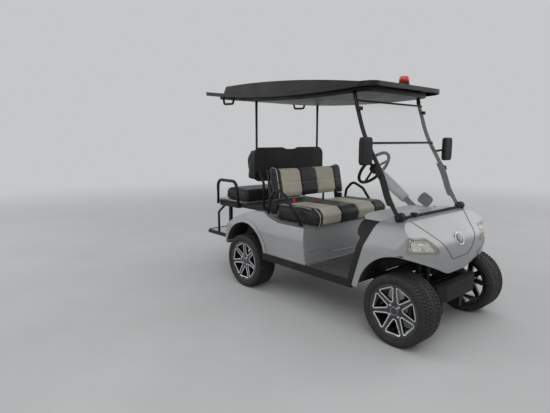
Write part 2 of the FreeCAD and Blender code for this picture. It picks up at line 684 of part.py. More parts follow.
# Rear seat: a fixed deck, the seat that folds back over the footrest, and the backrest on the rear posts.
deck = slab("xy", outline([
    (-s.deck_back, -s.deck_half_width, 40), (130, -s.deck_half_width), (130, s.deck_half_width), (-s.deck_back, s.deck_half_width, 40),
]), deck_low, s.deck_top)
formed("rear_deck", rear_axle, deck)
pan_low = s.deck_top + s.seat_gap
pan = block((-s.deck_back - 4, -420, pan_low), (-180, 420, pan_low + 11.7))
pan = pan.cut(cylinder(14, (-645, -500, 524), (-645, 500, 524)))
barrel = cylinder(9, (-645, -420, 524), (-645, 420, 524))
pan = pan.fuse(block((-645, -420, 524), (-600, 420, pan_low + 11.7))).fuse(barrel).removeSplitter()
formed("rear_seat_pan", rear_axle, pan)
rear_low = pan_low + 11.7
rear_cushion = slab("xz", outline([
    (-580, rear_low), (-180, rear_low), (-180, rear_low + s.rear_cushion_height - 10, 30),
    (-500, rear_low + s.rear_cushion_height, 40), (-580, rear_low + s.rear_cushion_height - 20, 40),
]), -415, 415)
formed("rear_seat_cushion", rear_axle, rear_cushion)
back_front = -15 + s.rear_post_radius + 0.3
shell_back = slab("yz", outline([
    (-440, s.rear_back_bottom, 60), (-440, s.rear_back_top, 70), (-110, s.rear_back_top, 60), (-60, s.rear_back_top - 18, 60),
    (60, s.rear_back_top - 18, 60), (110, s.rear_back_top, 60), (440, s.rear_back_top, 70), (440, s.rear_back_bottom, 60),
]), back_front, back_front + 22)
formed("rear_back_shell", rear_axle, shell_back)
pad_back = -15 - s.rear_post_radius - 0.3
rear_pad = slab("xz", outline([
    (pad_back, s.rear_back_bottom), (pad_back, s.rear_back_top - 10, 20), (-120, s.rear_back_top - 20, 60),
    (-195, 970, 60), (-190, s.rear_back_bottom + 10, 30),
]), -435, 435)
formed("rear_seat_back", rear_axle, rear_pad)

# Footrest: a platform in a tube frame on the rails, two hooked arms and two stands up to the deck.
step_low = rail_top
step_back = -s.footrest_reach
step_front = step_back + s.platform_length
step = block((step_back, -450, step_low), (step_front, 450, s.platform_height))
step = step.cut(block((step_back + 25, -425, 0), (step_front - 25, 425, s.platform_height - 4)))
hook = tube([(-520, 436, deck_low - 0.3), (-655, 436, 378, 50), (-655, 436, s.platform_height - 10)], s.hoop_radius)
stand = block((-495, 385, s.platform_height - 10), (-465, 415, deck_low))
hook = hook.cut(block((-700, 300, deck_low - s.seat_gap), (-400, 600, deck_low + 50)))
formed("footrest", rear_axle, step.fuse([hook, mirrored(hook), stand, mirrored(stand)]).removeSplitter())

# Front suspension: lower and upper arms with an eye round each kingpin, and coil-over legs.
kingpin_y = s.kingpin_track / 2
pin_bore = s.kingpin_radius + s.running_gap


def arm_plate(low, high, inner, spread, opening):
    plan = outline([(-spread, inner), (-22, kingpin_y - 8), (22, kingpin_y - 8), (spread, inner)])
    plate = slab("xy", plan, low, high)
    plate = plate.fuse(cylinder(22, (0, kingpin_y, low), (0, kingpin_y, high)))
    plate = plate.cut(slab("xy", outline(opening), low, high))
    return plate.cut(cylinder(pin_bore, (0, kingpin_y, low - 5), (0, kingpin_y, high + 5)))


lower_arm = arm_plate(-102, -84, 160, 118, [(-80, 150), (0, 290, 20), (80, 150)])
upper_arm = arm_plate(84, 100, 250, 62, [(-34, 240), (-34, 345, 30), (34, 345, 30), (34, 240)])
leg = cylinder(14, (0, 318, -90), (0, 262, 310)).fuse(cylinder(30, (0, 312, -40), (0, 275, 215)))
leg = leg.common(block((-60, 200, -84), (60, 400, 300)))
legs = [leg, mirrored(leg)]
formed("front_arms", front_axle, Part.makeCompound([lower_arm, mirrored(lower_arm), upper_arm, mirrored(upper_arm)] + legs))

# Knuckles: the upright on its kingpin, the spindle and the steering arm.
for side_name, side in (("right", -1), ("left", 1)):
    upright = block((-20, kingpin_y - 16, -83.7), (20, kingpin_y + 16, 83.7))
    pin = cylinder(s.kingpin_radius, (0, kingpin_y, -102), (0, kingpin_y, 100))
    end = s.track_front / 2 + s.tyre_width / 2 - s.rim_dish - 26
    spindle = cylinder(s.spindle_radius, (0, kingpin_y, 0), (0, end, 0))
    flange = cylinder(45, (0, kingpin_y + 16, 0), (0, s.track_front / 2 + 5, 0))
    lever = slab("xy", outline([(-20, kingpin_y - 12), (-20, kingpin_y + 12), (rack_x - 12, kingpin_y + 12, 10),
                                (rack_x - 12, kingpin_y - 12, 10)]), -10, 4)
    knuckle = upright.fuse([pin, spindle, flange, lever]).removeSplitter()
    if side < 0:
        knuckle = mirrored(knuckle)
    formed("knuckle_" + side_name, front_axle, knuckle)

# Steering rack with its tie rods, whose eyes lie under the knuckles' arms.
rack = cylinder(12, (rack_x, -250, rod_z), (rack_x, 250, rod_z))
rod = cylinder(7.5, (rack_x, 250, rod_z), (rack_x, kingpin_y - 10, rod_z))
rod_eye = cylinder(13, (rack_x, kingpin_y, rod_z - 7), (rack_x, kingpin_y, -10.5))
formed("steering_rack", front_axle, rack.fuse([rod, mirrored(rod), rod_eye, mirrored(rod_eye)]).removeSplitter())

# Steering column: the fixed tube, the shaft down to the rack and the rack's housing.
tilt = math.radians(s.column_tilt)
column_y = 250
hub = Vector(861 - 1666, column_y, 1150 - 252)
down = Vector(math.cos(tilt), 0, -math.sin(tilt))
column_start = hub + down * 60
column_end = hub + down * 520
column = cylinder(24, column_start, column_end).cut(cylinder(10 + s.running_gap, hub, hub + down * 160))
column = column.cut(dash)
housing = cylinder(s.housing_radius, (rack_x, -180, rod_z), (rack_x, 180, rod_z))
gearbox = cylinder(30, (rack_x, 60, rod_z - 30), (rack_x, 60, rod_z + 40))
housing = housing.fuse(gearbox).cut(cylinder(12 + s.running_gap, (rack_x, -300, rod_z), (rack_x, 300, rod_z)))
formed("steering_column", front_axle, column)
formed("rack_housing", front_axle, housing.removeSplitter())

# Steering wheel: a ring, three spokes and a hub on a shaft that turns in the column.
ring = Part.makeTorus(s.wheel_ring_radius, s.wheel_grip_radius, Vector(), Vector(0, 0, 1))
spokes = [block((0, -14, -6), (s.wheel_ring_radius, 14, 2)) for turn in range(3)]
for turn, spoke in enumerate(spokes):
    spoke.rotate(Vector(), Vector(0, 0, 1), 60 + 120 * turn)
steering = ring.fuse(spokes + [cylinder(42, (0, 0, -36), (0, 0, 8)), cylinder(10, (0, 0, -150), (0, 0, -30))])
steering = steering.removeSplitter()
steering.Placement = Placement(hub, Rotation(Vector(0, 0, 1), down * -1))
formed("steering_wheel", front_axle, Part.makeCompound([steering]))

# Pedals on the toe board.
pedals = []
for y, high in ((210, 90), (330, 110)):
    pad = block((-352, y - 32, 200), (-340, y + 32, 200 + high))
    stalk = block((-340, y - 6, 240), (-300, y + 6, 256))
    toe = slab("xz", outline([(cowl_back - s.wheelbase - 4, floor_top), (cowl_back - s.wheelbase + 46, 470), (200, 470), (200, floor_top)]), -600, 600)
    pedals.append(pad.fuse(stalk).cut(toe))
formed("pedals", front_axle, Part.makeCompound(pedals))

doc.recompute()
for item in doc.Objects:
    if "Invalid" in item.State or "Error" in item.State:
        raise RuntimeError(f"{item.Label}: {item.State}")
for item in nodes:
    if item.Shape.isNull() or not item.Shape.isValid():
        raise RuntimeError(f"{item.Label} has no valid shape")
    item.Shape.exportStep(f"parts/{item.Label}.step")
    print(item.Label, len(item.Shape.Solids), round(item.Shape.Volume / 1e6, 3), "litres")
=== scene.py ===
import math
import bpy
import bmesh
import numpy as np
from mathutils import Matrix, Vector
from mathutils.bvhtree import BVHTree


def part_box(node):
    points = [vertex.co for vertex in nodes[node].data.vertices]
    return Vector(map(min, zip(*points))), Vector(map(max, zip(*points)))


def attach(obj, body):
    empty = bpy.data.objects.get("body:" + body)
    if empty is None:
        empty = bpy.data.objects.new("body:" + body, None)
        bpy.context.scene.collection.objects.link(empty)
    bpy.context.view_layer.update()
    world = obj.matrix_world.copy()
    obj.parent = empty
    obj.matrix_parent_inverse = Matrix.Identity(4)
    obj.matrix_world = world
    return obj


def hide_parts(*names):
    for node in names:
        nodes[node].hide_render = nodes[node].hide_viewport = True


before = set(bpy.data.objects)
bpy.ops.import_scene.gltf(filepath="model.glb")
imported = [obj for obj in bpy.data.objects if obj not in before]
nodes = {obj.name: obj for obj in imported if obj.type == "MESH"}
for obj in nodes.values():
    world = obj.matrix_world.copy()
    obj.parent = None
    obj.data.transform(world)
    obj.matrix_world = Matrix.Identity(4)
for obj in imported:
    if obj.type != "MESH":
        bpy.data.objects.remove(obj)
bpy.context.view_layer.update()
print("frame loaded:", len(nodes), "nodes")

# the axles' places along the cart and their height over the ground
rearAxle, frontAxle, axleHeight = -0.5315, 1.1345, 0.252


# millimetres from the middle of an axle, as arrays or numbers, to metres in the frame
def fromAxle(axle, x, y, z):
    return np.stack(np.broadcast_arrays(axle + np.asarray(x) / 1000, np.asarray(y) / 1000,
                                        axleHeight + np.asarray(z) / 1000), -1)


# mesh from a grid of points shaped (rows, columns, 3); either way can close on itself
def gridMesh(name, points, closeRows=False, closeColumns=False, caps=False, smooth=True):
    rows, columns = points.shape[:2]
    index = np.arange(rows * columns).reshape(rows, columns)
    r = np.vstack([index, index[:1]]) if closeRows else index
    c = np.hstack([r, r[:, :1]]) if closeColumns else r
    faces = np.stack([c[:-1, :-1], c[1:, :-1], c[1:, 1:], c[:-1, 1:]], -1).reshape(-1, 4).tolist()
    if caps:
        faces += [index[0].tolist(), index[-1, ::-1].tolist()]
    mesh = bpy.data.meshes.new(name)
    mesh.from_pydata(points.reshape(-1, 3).tolist(), [], faces)
    mesh.update()
    fixNormals(mesh)
    shade(mesh, smooth)
    return mesh


def shade(mesh, smooth=True):
    mesh.polygons.foreach_set("use_smooth", np.full(len(mesh.polygons), smooth))


# merges doubles and turns every face outwards
def fixNormals(mesh, merge=1e-6):
    bm = bmesh.new()
    bm.from_mesh(mesh)
    bmesh.ops.remove_doubles(bm, verts=bm.verts, dist=merge)
    bmesh.ops.recalc_face_normals(bm, faces=bm.faces)
    bm.to_mesh(mesh)
    bm.free()


def addObject(name, data):
    thing = bpy.data.objects.new(name, data)
    bpy.context.scene.collection.objects.link(thing)
    return thing


# a mesh, or several as one, as a piece with one finish or several on the body that carries it
def addPiece(name, mesh, finishes, body="chassis", hides=()):
    mesh = joinMeshes(name, mesh) if isinstance(mesh, list) else mesh
    piece = addObject(name, mesh)
    for one in [finishes] if isinstance(finishes, str) else finishes:
        mesh.materials.append(finish[one])
    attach(piece, body)
    if hides:
        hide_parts(*hides)
    return piece


# several meshes as one; a pair (mesh, number) gives that mesh's faces the number of its material
def joinMeshes(name, parts):
    bm = bmesh.new()
    for part in parts:
        mesh, number = part if isinstance(part, tuple) else (part, 0)
        start = len(bm.faces)
        bm.from_mesh(mesh)
        bm.faces.ensure_lookup_table()
        for face in bm.faces[start:]:
            face.material_index = number
    joined = bpy.data.meshes.new(name)
    bm.to_mesh(joined)
    bm.free()
    return joined


# every vertex's place, or its normal
def meshPoints(mesh, what="co"):
    points = np.empty(len(mesh.vertices) * 3)
    mesh.vertices.foreach_get(what, points)
    return points.reshape(-1, 3)


def setPoints(mesh, points):
    mesh.vertices.foreach_set("co", np.asarray(points, np.float32).ravel())
    mesh.update()


# vectors with their length made 1
def unit(vectors):
    return vectors / np.linalg.norm(vectors, axis=-1, keepdims=True)


# 0 below low, 1 above high, and a smooth S between
def smoothStep(value, low, high):
    t = np.clip((value - low) / (high - low), 0, 1)
    return t * t * (3 - 2 * t)


# a bar along a line of points: an oval set square to the line's direction at each point
def tubeMesh(name, line, radius, sides=16, close=False, taper=1.0, flat=1.0):
    line = np.asarray(line, float)
    ahead = unit(np.roll(line, -1, 0) - np.roll(line, 1, 0) if close else np.gradient(line, axis=0))
    side = np.cross(ahead, [0.0, 0.0, 1.0])
    side[np.linalg.norm(side, axis=1) < 1e-4] = [1.0, 0, 0]
    side = unit(side)
    up = np.cross(side, ahead)
    angle = np.linspace(0, 2 * np.pi, sides, endpoint=False)
    radii = radius * np.broadcast_to(taper, len(line))
    cosine, sine = np.cos(angle)[None, :, None], np.sin(angle)[None, :, None]
    ring = side[:, None] * cosine + flat * up[:, None] * sine
    return gridMesh(name, line[:, None] + ring * radii[:, None, None], close, True, not close)


# a smooth line through a few points: each stretch is a Catmull-Rom cubic
def smoothLine(points, steps=8):
    p = np.asarray(points, float)
    p = np.vstack([2 * p[0] - p[1], p, 2 * p[-1] - p[-2]])
    t = np.linspace(0, 1, steps, endpoint=False)[:, None]
    out = []
    for a, b, c, d in zip(p[:-3], p[1:-2], p[2:-1], p[3:]):
        square, cube = 2 * a - 5 * b + 4 * c - d, 3 * b - a - 3 * c + d
        out.append(0.5 * (2 * b + (c - a) * t + square * t**2 + cube * t**3))
    return np.vstack(out + [p[-2:-1]])


# a section of (radius, height) turned round an axis that starts at a point
def turnedMesh(name, section, start, axis=(0, 0, 1), sides=32, lobes=None, smooth=True):
    section = np.asarray(section, float)
    axis = Vector(axis).normalized()
    across = np.array(axis.orthogonal().normalized())
    axis = np.array(axis)
    other = np.cross(axis, across)
    angle = np.linspace(0, 2 * np.pi, sides, endpoint=False)
    radius = section[:, :1] * (1 if lobes is None else lobes(angle)[None])
    points = (np.asarray(start) + section[:, 1][:, None, None] * axis
              + radius[..., None] * (np.cos(angle)[:, None] * across + np.sin(angle)[:, None] * other))
    return gridMesh(name, points, False, True, True, smooth)


# a box with rounded edges: a superellipsoid of two angles, whose power sets how square it is
def roundedBox(name, centre, half, power=0.25, steps=(24, 40), turn=None):
    tall = np.linspace(-np.pi / 2, np.pi / 2, steps[0])[:, None]
    wide = np.linspace(0, 2 * np.pi, steps[1], endpoint=False)[None, :]

    def soft(value):
        return np.sign(value) * np.abs(value) ** power

    points = np.stack([soft(np.cos(tall)) * soft(np.cos(wide)), soft(np.cos(tall)) * soft(np.sin(wide)),
                       soft(np.sin(tall)) * np.ones_like(wide)], -1) * np.asarray(half)
    if turn is not None:
        points = points @ np.asarray(turn).T
    return gridMesh(name, points + np.asarray(centre), False, True)


# turns about the Y axis; up tips towards +x for a positive angle
def turnY(degrees):
    c, s = math.cos(math.radians(degrees)), math.sin(math.radians(degrees))
    return np.array([[c, 0, s], [0, 1, 0], [-s, 0, c]])


# the same mesh on the cart's other side
def mirrorMesh(mesh):
    other = mesh.copy()
    setPoints(other, meshPoints(mesh) * [1, -1, 1])
    other.flip_normals()
    return other


# the arc that rounds a corner: it leaves either side at radius / tan(half the corner's angle), and
# its middle is on the line that halves the corner, at radius / sin(half the angle)
def cornerArc(before, here, after, radius, steps):
    back, ahead = unit(before - here), unit(after - here)
    half = math.acos(np.clip(back @ ahead, -1, 1)) / 2
    centre = here + unit(back + ahead) * radius / math.sin(half)
    start, end = (here + way * radius / math.tan(half) - centre for way in (back, ahead))
    t = np.linspace(0, 1, steps + 1)[:, None]
    return centre + unit(start * (1 - t) + end * t) * radius


# a closed outline with round corners: each corner is (u, v, radius), each arc has a few steps
def roundOutline(corners, steps=6):
    p = np.array([corner[:2] for corner in corners], float)
    out = []
    for k, corner in enumerate(corners):
        if len(corner) > 2 and corner[2]:
            out.append(cornerArc(p[k - 1], p[k], p[(k + 1) % len(p)], corner[2], steps))
        else:
            out.append(p[k][None])
    return np.vstack(out)


# a line or a closed outline with its points at even steps along it
def evenOutline(points, count, close=True):
    loop = np.vstack([points, points[:1]]) if close else points
    length = np.concatenate([[0], np.cumsum(np.linalg.norm(np.diff(loop, axis=0), axis=1))])
    place = np.linspace(0, length[-1], count, endpoint=not close)
    return np.stack([np.interp(place, length, loop[:, k]) for k in range(loop.shape[1])], -1)


# half an outline and its mirror image: across the first coordinate, or the second
def mirrored(half, second=False):
    u, v = (1, -1) if second else (-1, 1)
    return half + [(u * corner[0], v * corner[1], *corner[2:]) for corner in reversed(half)]


# the way out of a closed outline at each of its points, square to the line through its neighbours
def outward(loop):
    ahead = unit(np.roll(loop, -1, 0) - np.roll(loop, 1, 0))
    out = np.stack([ahead[:, 1], -ahead[:, 0]], -1)
    return -out if (out * (loop - loop.mean(0))).sum() < 0 else out


# one mesh joined with, cut by or kept inside others
def combine(operation, first, *others):
    base = addObject("base", first)
    tools = []
    for other in others:
        tool = addObject("tool", other)
        modifier = base.modifiers.new("combine", "BOOLEAN")
        modifier.operation = operation
        modifier.solver = "EXACT"
        modifier.object = tool
        tools.append(tool)
    mesh = bpy.data.meshes.new_from_object(base.evaluated_get(bpy.context.evaluated_depsgraph_get()))
    for item in [base] + tools:
        bpy.data.objects.remove(item)
    return mesh


# the first mesh less the others
def cutAway(first, *others):
    return combine("DIFFERENCE", first, *others)


# what the first mesh has in common with all the others
def shared(first, *others):
    return combine("INTERSECT", first, *others)


# smooth shading, with edges sharper than an angle kept crisp
def smoothByAngle(mesh, degrees=32):
    fixNormals(mesh, 2e-5)
    shade(mesh)
    mesh.set_sharp_from_angle(angle=math.radians(degrees))
    return mesh


class Nodes:
    def __init__(self, name):
        self.material = bpy.data.materials.new(name)
        self.material.use_nodes = True
        self.tree = self.material.node_tree
        self.shader = self.tree.nodes["Principled BSDF"]
        self.coordinates = self.add("ShaderNodeTexCoord").outputs["Object"]

    def add(self, kind, **values):
        node = self.tree.nodes.new(kind)
        for key, value in values.items():
            if key in node.inputs.keys():
                node.inputs[key].default_value = value
            else:
                setattr(node, key, value)
        return node

    def link(self, a, b):
        self.tree.links.new(a, b)

    def math(self, operation, *values):
        node = self.add("ShaderNodeMath", operation=operation)
        for socket, value in zip(node.inputs, values):
            if isinstance(value, (int, float)):
                socket.default_value = value
            else:
                self.link(value, socket)
        return node.outputs["Value"]

    def noise(self, scale, detail=4, roughness=0.6):
        texture = self.add("ShaderNodeTexNoise", Scale=scale, Detail=detail, Roughness=roughness)
        self.link(self.coordinates, texture.inputs["Vector"])
        return texture.outputs["Fac"]

    def axis(self, letter):
        apart = self.add("ShaderNodeSeparateXYZ")
        self.link(self.coordinates, apart.inputs["Vector"])
        return apart.outputs[letter]

    def ramp(self, source, stops):
        ramp = self.add("ShaderNodeValToRGB")
        while len(ramp.color_ramp.elements) < len(stops):
            ramp.color_ramp.elements.new(0.5)
        for element, (position, colour) in zip(ramp.color_ramp.elements, stops):
            element.position = position
            element.color = (*colour, 1) if len(colour) == 3 else (colour[0],) * 3 + (1,)
        self.link(source, ramp.inputs["Fac"])
        return ramp.outputs["Color"]

    # a shader's input that follows a noise, from one stop of a ramp to another
    def drift(self, socket, first, last, *noise):
        self.link(self.ramp(self.noise(*noise), [first, last]), self.shader.inputs[socket])

    def mix(self, factor, first, second):
        node = self.add("ShaderNodeMix", data_type="RGBA")
        self.link(factor, node.inputs[0])
        self.link(first, node.inputs[6])
        self.link(second, node.inputs[7])
        return node.outputs[2]

    def bump(self, source, strength, distance=0.001, after=None):
        bump = self.add("ShaderNodeBump", Strength=strength, Distance=distance)
        self.link(source, bump.inputs["Height"])
        if after is not None:
            self.link(after, bump.inputs["Normal"])
        self.link(bump.outputs["Normal"], self.shader.inputs["Normal"])
        return bump.outputs["Normal"]

    def roundEdges(self, radius):
        bevel = self.add("ShaderNodeBevel", Radius=radius, samples=6)
        self.link(bevel.outputs["Normal"], self.shader.inputs["Normal"])
        return bevel.outputs["Normal"]

    def socket(self, **values):
        for key, value in values.items():
            self.shader.inputs[key.replace("_", " ")].default_value = value


# a finish whose colour drifts between two tones, with roughness from another noise and a fine grain,
# and edges that look rounded by a few millimetres
def makeFinish(name, dark, light, rough, metallic=0.0, drift=3.0, grain=900.0, bump=0.1, depth=0.0004,
               coat=0.0, edge=0.0, extra=None):
    n = Nodes(name)
    n.drift("Base Color", (0.3, dark), (0.7, light), drift, 5)
    n.drift("Roughness", (0.25, (rough[0],)), (0.75, (rough[1],)), drift * 2.3, 6)
    n.socket(Metallic=metallic, Coat_Weight=coat, Coat_Roughness=0.08, **(extra or {}))
    rounded = n.roundEdges(edge) if edge else None
    if bump:
        n.bump(n.noise(grain, 3, 0.7), bump, depth, rounded)
    return n.material


# black finishes mirror less of the bright studio
dim = {"Specular IOR Level": 0.28}
# tones, range of roughness, metal, scale of the drift and of the grain, the grain's strength and
# depth, coat, rounded edge, other inputs
finishTable = {
    "silver_paint": ((0.3, 0.305, 0.31), (0.355, 0.36, 0.365), (0.34, 0.44), 0.4, 1.6, 1500, 0.012, 0.0001,
                     0.25, 0.005),
    "black_plastic": ((0.009, 0.009, 0.01), (0.017, 0.017, 0.018), (0.5, 0.66), 0, 4, 1400, 0.2, 0.0003, 0,
                      0.003, dim),
    "roof_black": ((0.006, 0.006, 0.007), (0.012, 0.012, 0.014), (0.34, 0.5), 0, 2.5, 1100, 0.08, 0.0002, 0,
                   0.008, dim),
    "powder_coat": ((0.007, 0.007, 0.008), (0.014, 0.014, 0.016), (0.36, 0.5), 0, 6, 2200, 0.15, 0.0002, 0,
                    0.003, dim),
    "cast_black": ((0.03, 0.03, 0.03), (0.065, 0.06, 0.055), (0.6, 0.85), 0.3, 9, 700, 0.5, 0.0008, 0, 0.004),
    "steel": ((0.42, 0.42, 0.43), (0.58, 0.58, 0.6), (0.25, 0.42), 1.0, 12, 1500, 0.1, 0.0002),
    "chrome": ((0.78, 0.78, 0.8), (0.85, 0.85, 0.87), (0.06, 0.14), 1.0, 8, 1500, 0.02, 0.0001),
    "dash_grey": ((0.36, 0.37, 0.38), (0.43, 0.44, 0.45), (0.45, 0.6), 0, 5, 1300, 0.2, 0.0003, 0, 0.006),
    "rubber": ((0.009, 0.009, 0.009), (0.018, 0.018, 0.018), (0.55, 0.75), 0, 8, 900, 0.2, 0.0004, 0, 0, dim),
    "rim_black": ((0.008, 0.008, 0.009), (0.016, 0.016, 0.018), (0.12, 0.22), 0, 6, 1200, 0.02, 0.0001, 0.8,
                  0.002),
    "machined_alloy": ((0.66, 0.67, 0.69), (0.8, 0.81, 0.83), (0.2, 0.32), 1.0, 20, 1800, 0.05, 0.0001),
    "spring_steel": ((0.05, 0.05, 0.052), (0.1, 0.1, 0.1), (0.4, 0.6), 0.7, 14, 900, 0.3, 0.0004),
    "battery_case": ((0.03, 0.03, 0.035), (0.05, 0.05, 0.055), (0.5, 0.65), 0, 4, 1000, 0.3, 0.0004),
    "lamp_red": ((0.35, 0.008, 0.008), (0.45, 0.012, 0.01), (0.08, 0.14), 0, 9, 900, 0.02, 0.0001, 0.6),
    "lamp_reflector": ((0.66, 0.65, 0.58), (0.82, 0.81, 0.74), (0.12, 0.25), 0.75, 30, 500, 0.05, 0.0003),
    "lamp_bezel": ((0.2, 0.195, 0.17), (0.3, 0.29, 0.25), (0.3, 0.4), 0.3, 16, 500, 0.1, 0.0003),
    "seat_piping": ((0.36, 0.34, 0.3), (0.46, 0.44, 0.39), (0.4, 0.55), 0, 10, 900, 0.2, 0.0004),
    "belt_webbing": ((0.012, 0.012, 0.013), (0.022, 0.022, 0.023), (0.6, 0.8), 0, 30, 1500, 0.4, 0.0005),
    "buckle_red": ((0.5, 0.02, 0.015), (0.6, 0.03, 0.02), (0.3, 0.4), 0, 10, 900, 0.1, 0.0002),
    "mirror_glass": ((0.85, 0.87, 0.88), (0.88, 0.9, 0.9), (0.02, 0.04), 1.0, 5, 900, 0, 0),
    "panel_seam": ((0.03, 0.03, 0.032), (0.05, 0.05, 0.052), (0.6, 0.75), 0, 9, 900, 0.1, 0.0003),
    "badge_grey": ((0.1, 0.11, 0.12), (0.15, 0.16, 0.17), (0.22, 0.32), 0.5, 30, 900, 0.1, 0.0003, 0.6),
    "beacon_red": ((0.62, 0.03, 0.02), (0.72, 0.045, 0.03), (0.1, 0.18), 0, 14, 700, 0.03, 0.0002, 0.6),
}
finish = {name: makeFinish(name, *values) for name, values in finishTable.items()}


# clear sheet or lens: mostly see-through, with gloss on it and a faint haze
def makeClear(name, colour, rough, alpha):
    n = Nodes(name)
    n.drift("Roughness", (0.3, (rough,)), (0.75, (rough * 2.2,)), 5, 5)
    n.socket(Base_Color=(*colour, 1), IOR=1.49, Alpha=alpha)
    return n.material


finish["acrylic"] = makeClear("acrylic", (0.5, 0.54, 0.55), 0.05, 0.09)
finish["lamp_clear"] = makeClear("lamp_clear", (0.8, 0.8, 0.72), 0.04, 0.16)


# tread plate: raised lozenges that lie two ways in turn, from two sine fields multiplied together
def makeTreadPlate():
    n = Nodes("tread_plate")
    n.drift("Base Color", (0.3, (0.42, 0.43, 0.44)), (0.7, (0.56, 0.57, 0.58)), 9, 5)
    n.drift("Roughness", (0.3, (0.26,)), (0.7, (0.42,)), 30)
    x, y = n.axis("X"), n.axis("Y")
    radiansPerMetre, waves = 190.0, []
    for way in ("ADD", "SUBTRACT"):
        waves.append(n.math("SINE", n.math("MULTIPLY", n.math(way, x, y), radiansPerMetre)))
    lozenge = n.math("MULTIPLY", *waves)
    n.bump(n.math("SMOOTH_MAX", n.math("ABSOLUTE", lozenge), 0.45, 0.2), 0.7, 0.0016, n.roundEdges(0.002))
    n.socket(Metallic=0.9)
    return n.material


# floor mat: lengthwise ribs from a wave across the cart, with dust
def makeFloorMat():
    n = Nodes("floor_mat")
    ribPitch = 0.02
    n.drift("Base Color", (0.3, (0.03, 0.031, 0.033)), (0.75, (0.085, 0.082, 0.078)), 5, 7, 0.7)
    n.drift("Roughness", (0.3, (0.6,)), (0.7, (0.85,)), 12, 5)
    ribs = n.math("SINE", n.math("MULTIPLY", n.axis("Y"), 2 * math.pi / ribPitch))
    n.bump(n.math("SMOOTH_MAX", ribs, -0.2, 0.4), 0.6, 0.0012)
    return n.material


# tyre rubber: near black, with a little dust in the blocks
def makeTyreMaterial():
    n = Nodes("tyre_rubber")
    n.drift("Base Color", (0.35, (0.009, 0.009, 0.009)), (0.8, (0.024, 0.023, 0.021)), 16, 6, 0.65)
    n.drift("Roughness", (0.3, (0.55,)), (0.7, (0.8,)), 60)
    n.bump(n.noise(700, 3, 0.7), 0.3, 0.0005)
    return n.material


# vinyl: leather grain from small cells, a soft sheen, and panels of a second colour between pairs of
# places across the cart
def makeVinyl(name, panels=()):
    n = Nodes(name)
    colour = n.ramp(n.noise(9, 5), [(0.3, (0.009, 0.009, 0.01)), (0.7, (0.019, 0.019, 0.021))])
    if panels:
        beige = n.ramp(n.noise(8, 5), [(0.3, (0.37, 0.34, 0.27)), (0.7, (0.46, 0.425, 0.345))])
        masks = []
        for left, right in panels:
            distance = n.math("ABSOLUTE", n.math("SUBTRACT", n.axis("Y"), (left + right) / 2))
            masks.append(n.math("LESS_THAN", distance, (right - left) / 2))
        colour = n.mix(n.math("MAXIMUM", *masks), colour, beige)
    n.link(colour, n.shader.inputs["Base Color"])
    n.drift("Roughness", (0.3, (0.36,)), (0.7, (0.52,)), 30)
    cells = n.add("ShaderNodeTexVoronoi", Scale=420.0)
    n.link(n.coordinates, cells.inputs["Vector"])
    first = n.bump(cells.outputs["Distance"], 0.25, 0.0005)
    n.bump(n.noise(26, 5), 0.35, 0.004, first)
    n.socket(Sheen_Weight=0.05, Sheen_Roughness=0.4, Specular_IOR_Level=0.3)
    return n.material


# the seams of the front seat and its backrest lie at the ends of the pale panels
seatSeams, backSeams = [-0.4, -0.17, 0.07, 0.3], [-0.382, -0.138, 0.082, 0.33]
finish["tread_plate"] = makeTreadPlate()
finish["floor_mat"] = makeFloorMat()
finish["tyre_rubber"] = makeTyreMaterial()
finish["vinyl_black"] = makeVinyl("vinyl_black")
finish["vinyl_seat"] = makeVinyl("vinyl_seat", (seatSeams[:2], seatSeams[2:]))
finish["vinyl_back"] = makeVinyl("vinyl_back", (backSeams[:2], backSeams[2:]))
print("finishes made:", len(finish))

# the CAD's nodes by finish; some of them give way to pieces below
cadFinish = {
    "tyre_rubber": [], "rim_black": [],
    "powder_coat": ["chassis_frame", "front_posts", "rear_posts", "seat_supports", "armrest_hoops",
                    "footrest", "front_arms", "steering_column"],
    "floor_mat": ["floor_pan"],
    "black_plastic": ["rocker_trims", "cowl_trim", "front_bumper", "wheel_liners", "roof_handles", "mirrors",
                      "rear_deck", "rear_back_shell", "pedals"],
    "silver_paint": ["rear_body", "kick_panel", "front_cowl", "bonnet_panel"],
    "battery_case": ["battery_pack"],
    "dash_grey": ["dash_panel"],
    "lamp_clear": ["headlamps"],
    "lamp_red": ["tail_lamps"],
    "roof_black": ["roof_canopy", "roof_tray"],
    "acrylic": ["windscreen"],
    "rubber": ["screen_seal", "steering_wheel"],
    "beacon_red": ["beacon"],
    "vinyl_black": ["front_seat_cushion", "front_seat_back", "rear_seat_cushion", "rear_seat_back"],
    "tread_plate": ["rear_seat_pan"],
    "cast_black": ["rear_axle", "drive_motor", "rack_housing", "knuckle_right", "knuckle_left"],
    "spring_steel": ["rear_springs"],
    "steel": ["steering_rack"],
}
for corner in ("front_right", "front_left", "rear_right", "rear_left"):
    cadFinish["tyre_rubber"].append("tyre_" + corner)
    cadFinish["rim_black"].append("rim_" + corner)
for name, members in cadFinish.items():
    for node in members:
        nodes[node].data.materials.clear()
        nodes[node].data.materials.append(finish[name])

wheel = {
    "radius": 0.252, "halfWidth": 0.105, "rimRadius": 0.192, "bead": 0.0855, "beadRadius": 0.1785,
    "pitches": 60, "stepsAround": 720, "grooveDepth": 0.0065,
    # tread: the channels' places and widths, their zigzag, where slots begin and shift, and their lean
    "channels": ((0.021, 0.0045), (0.056, 0.005)), "zigzag": 0.0045, "slotStart": 0.02, "slotShift": 0.056,
    "slotLean": 16.2, "channelEnd": 0.088, "wear": 0.0002,
    # windows: inner and outer radius, each with its half width as a share of the pitch
    "windows": 7, "windowEnds": ((0.067, 0.12), (0.1665, 0.385)), "windowRound": 0.006,
    "frameWidth": 0.0086, "frameRise": 0.0016, "lugs": 4, "lugCircle": 0.047, "nutPlace": 0.0755,
}


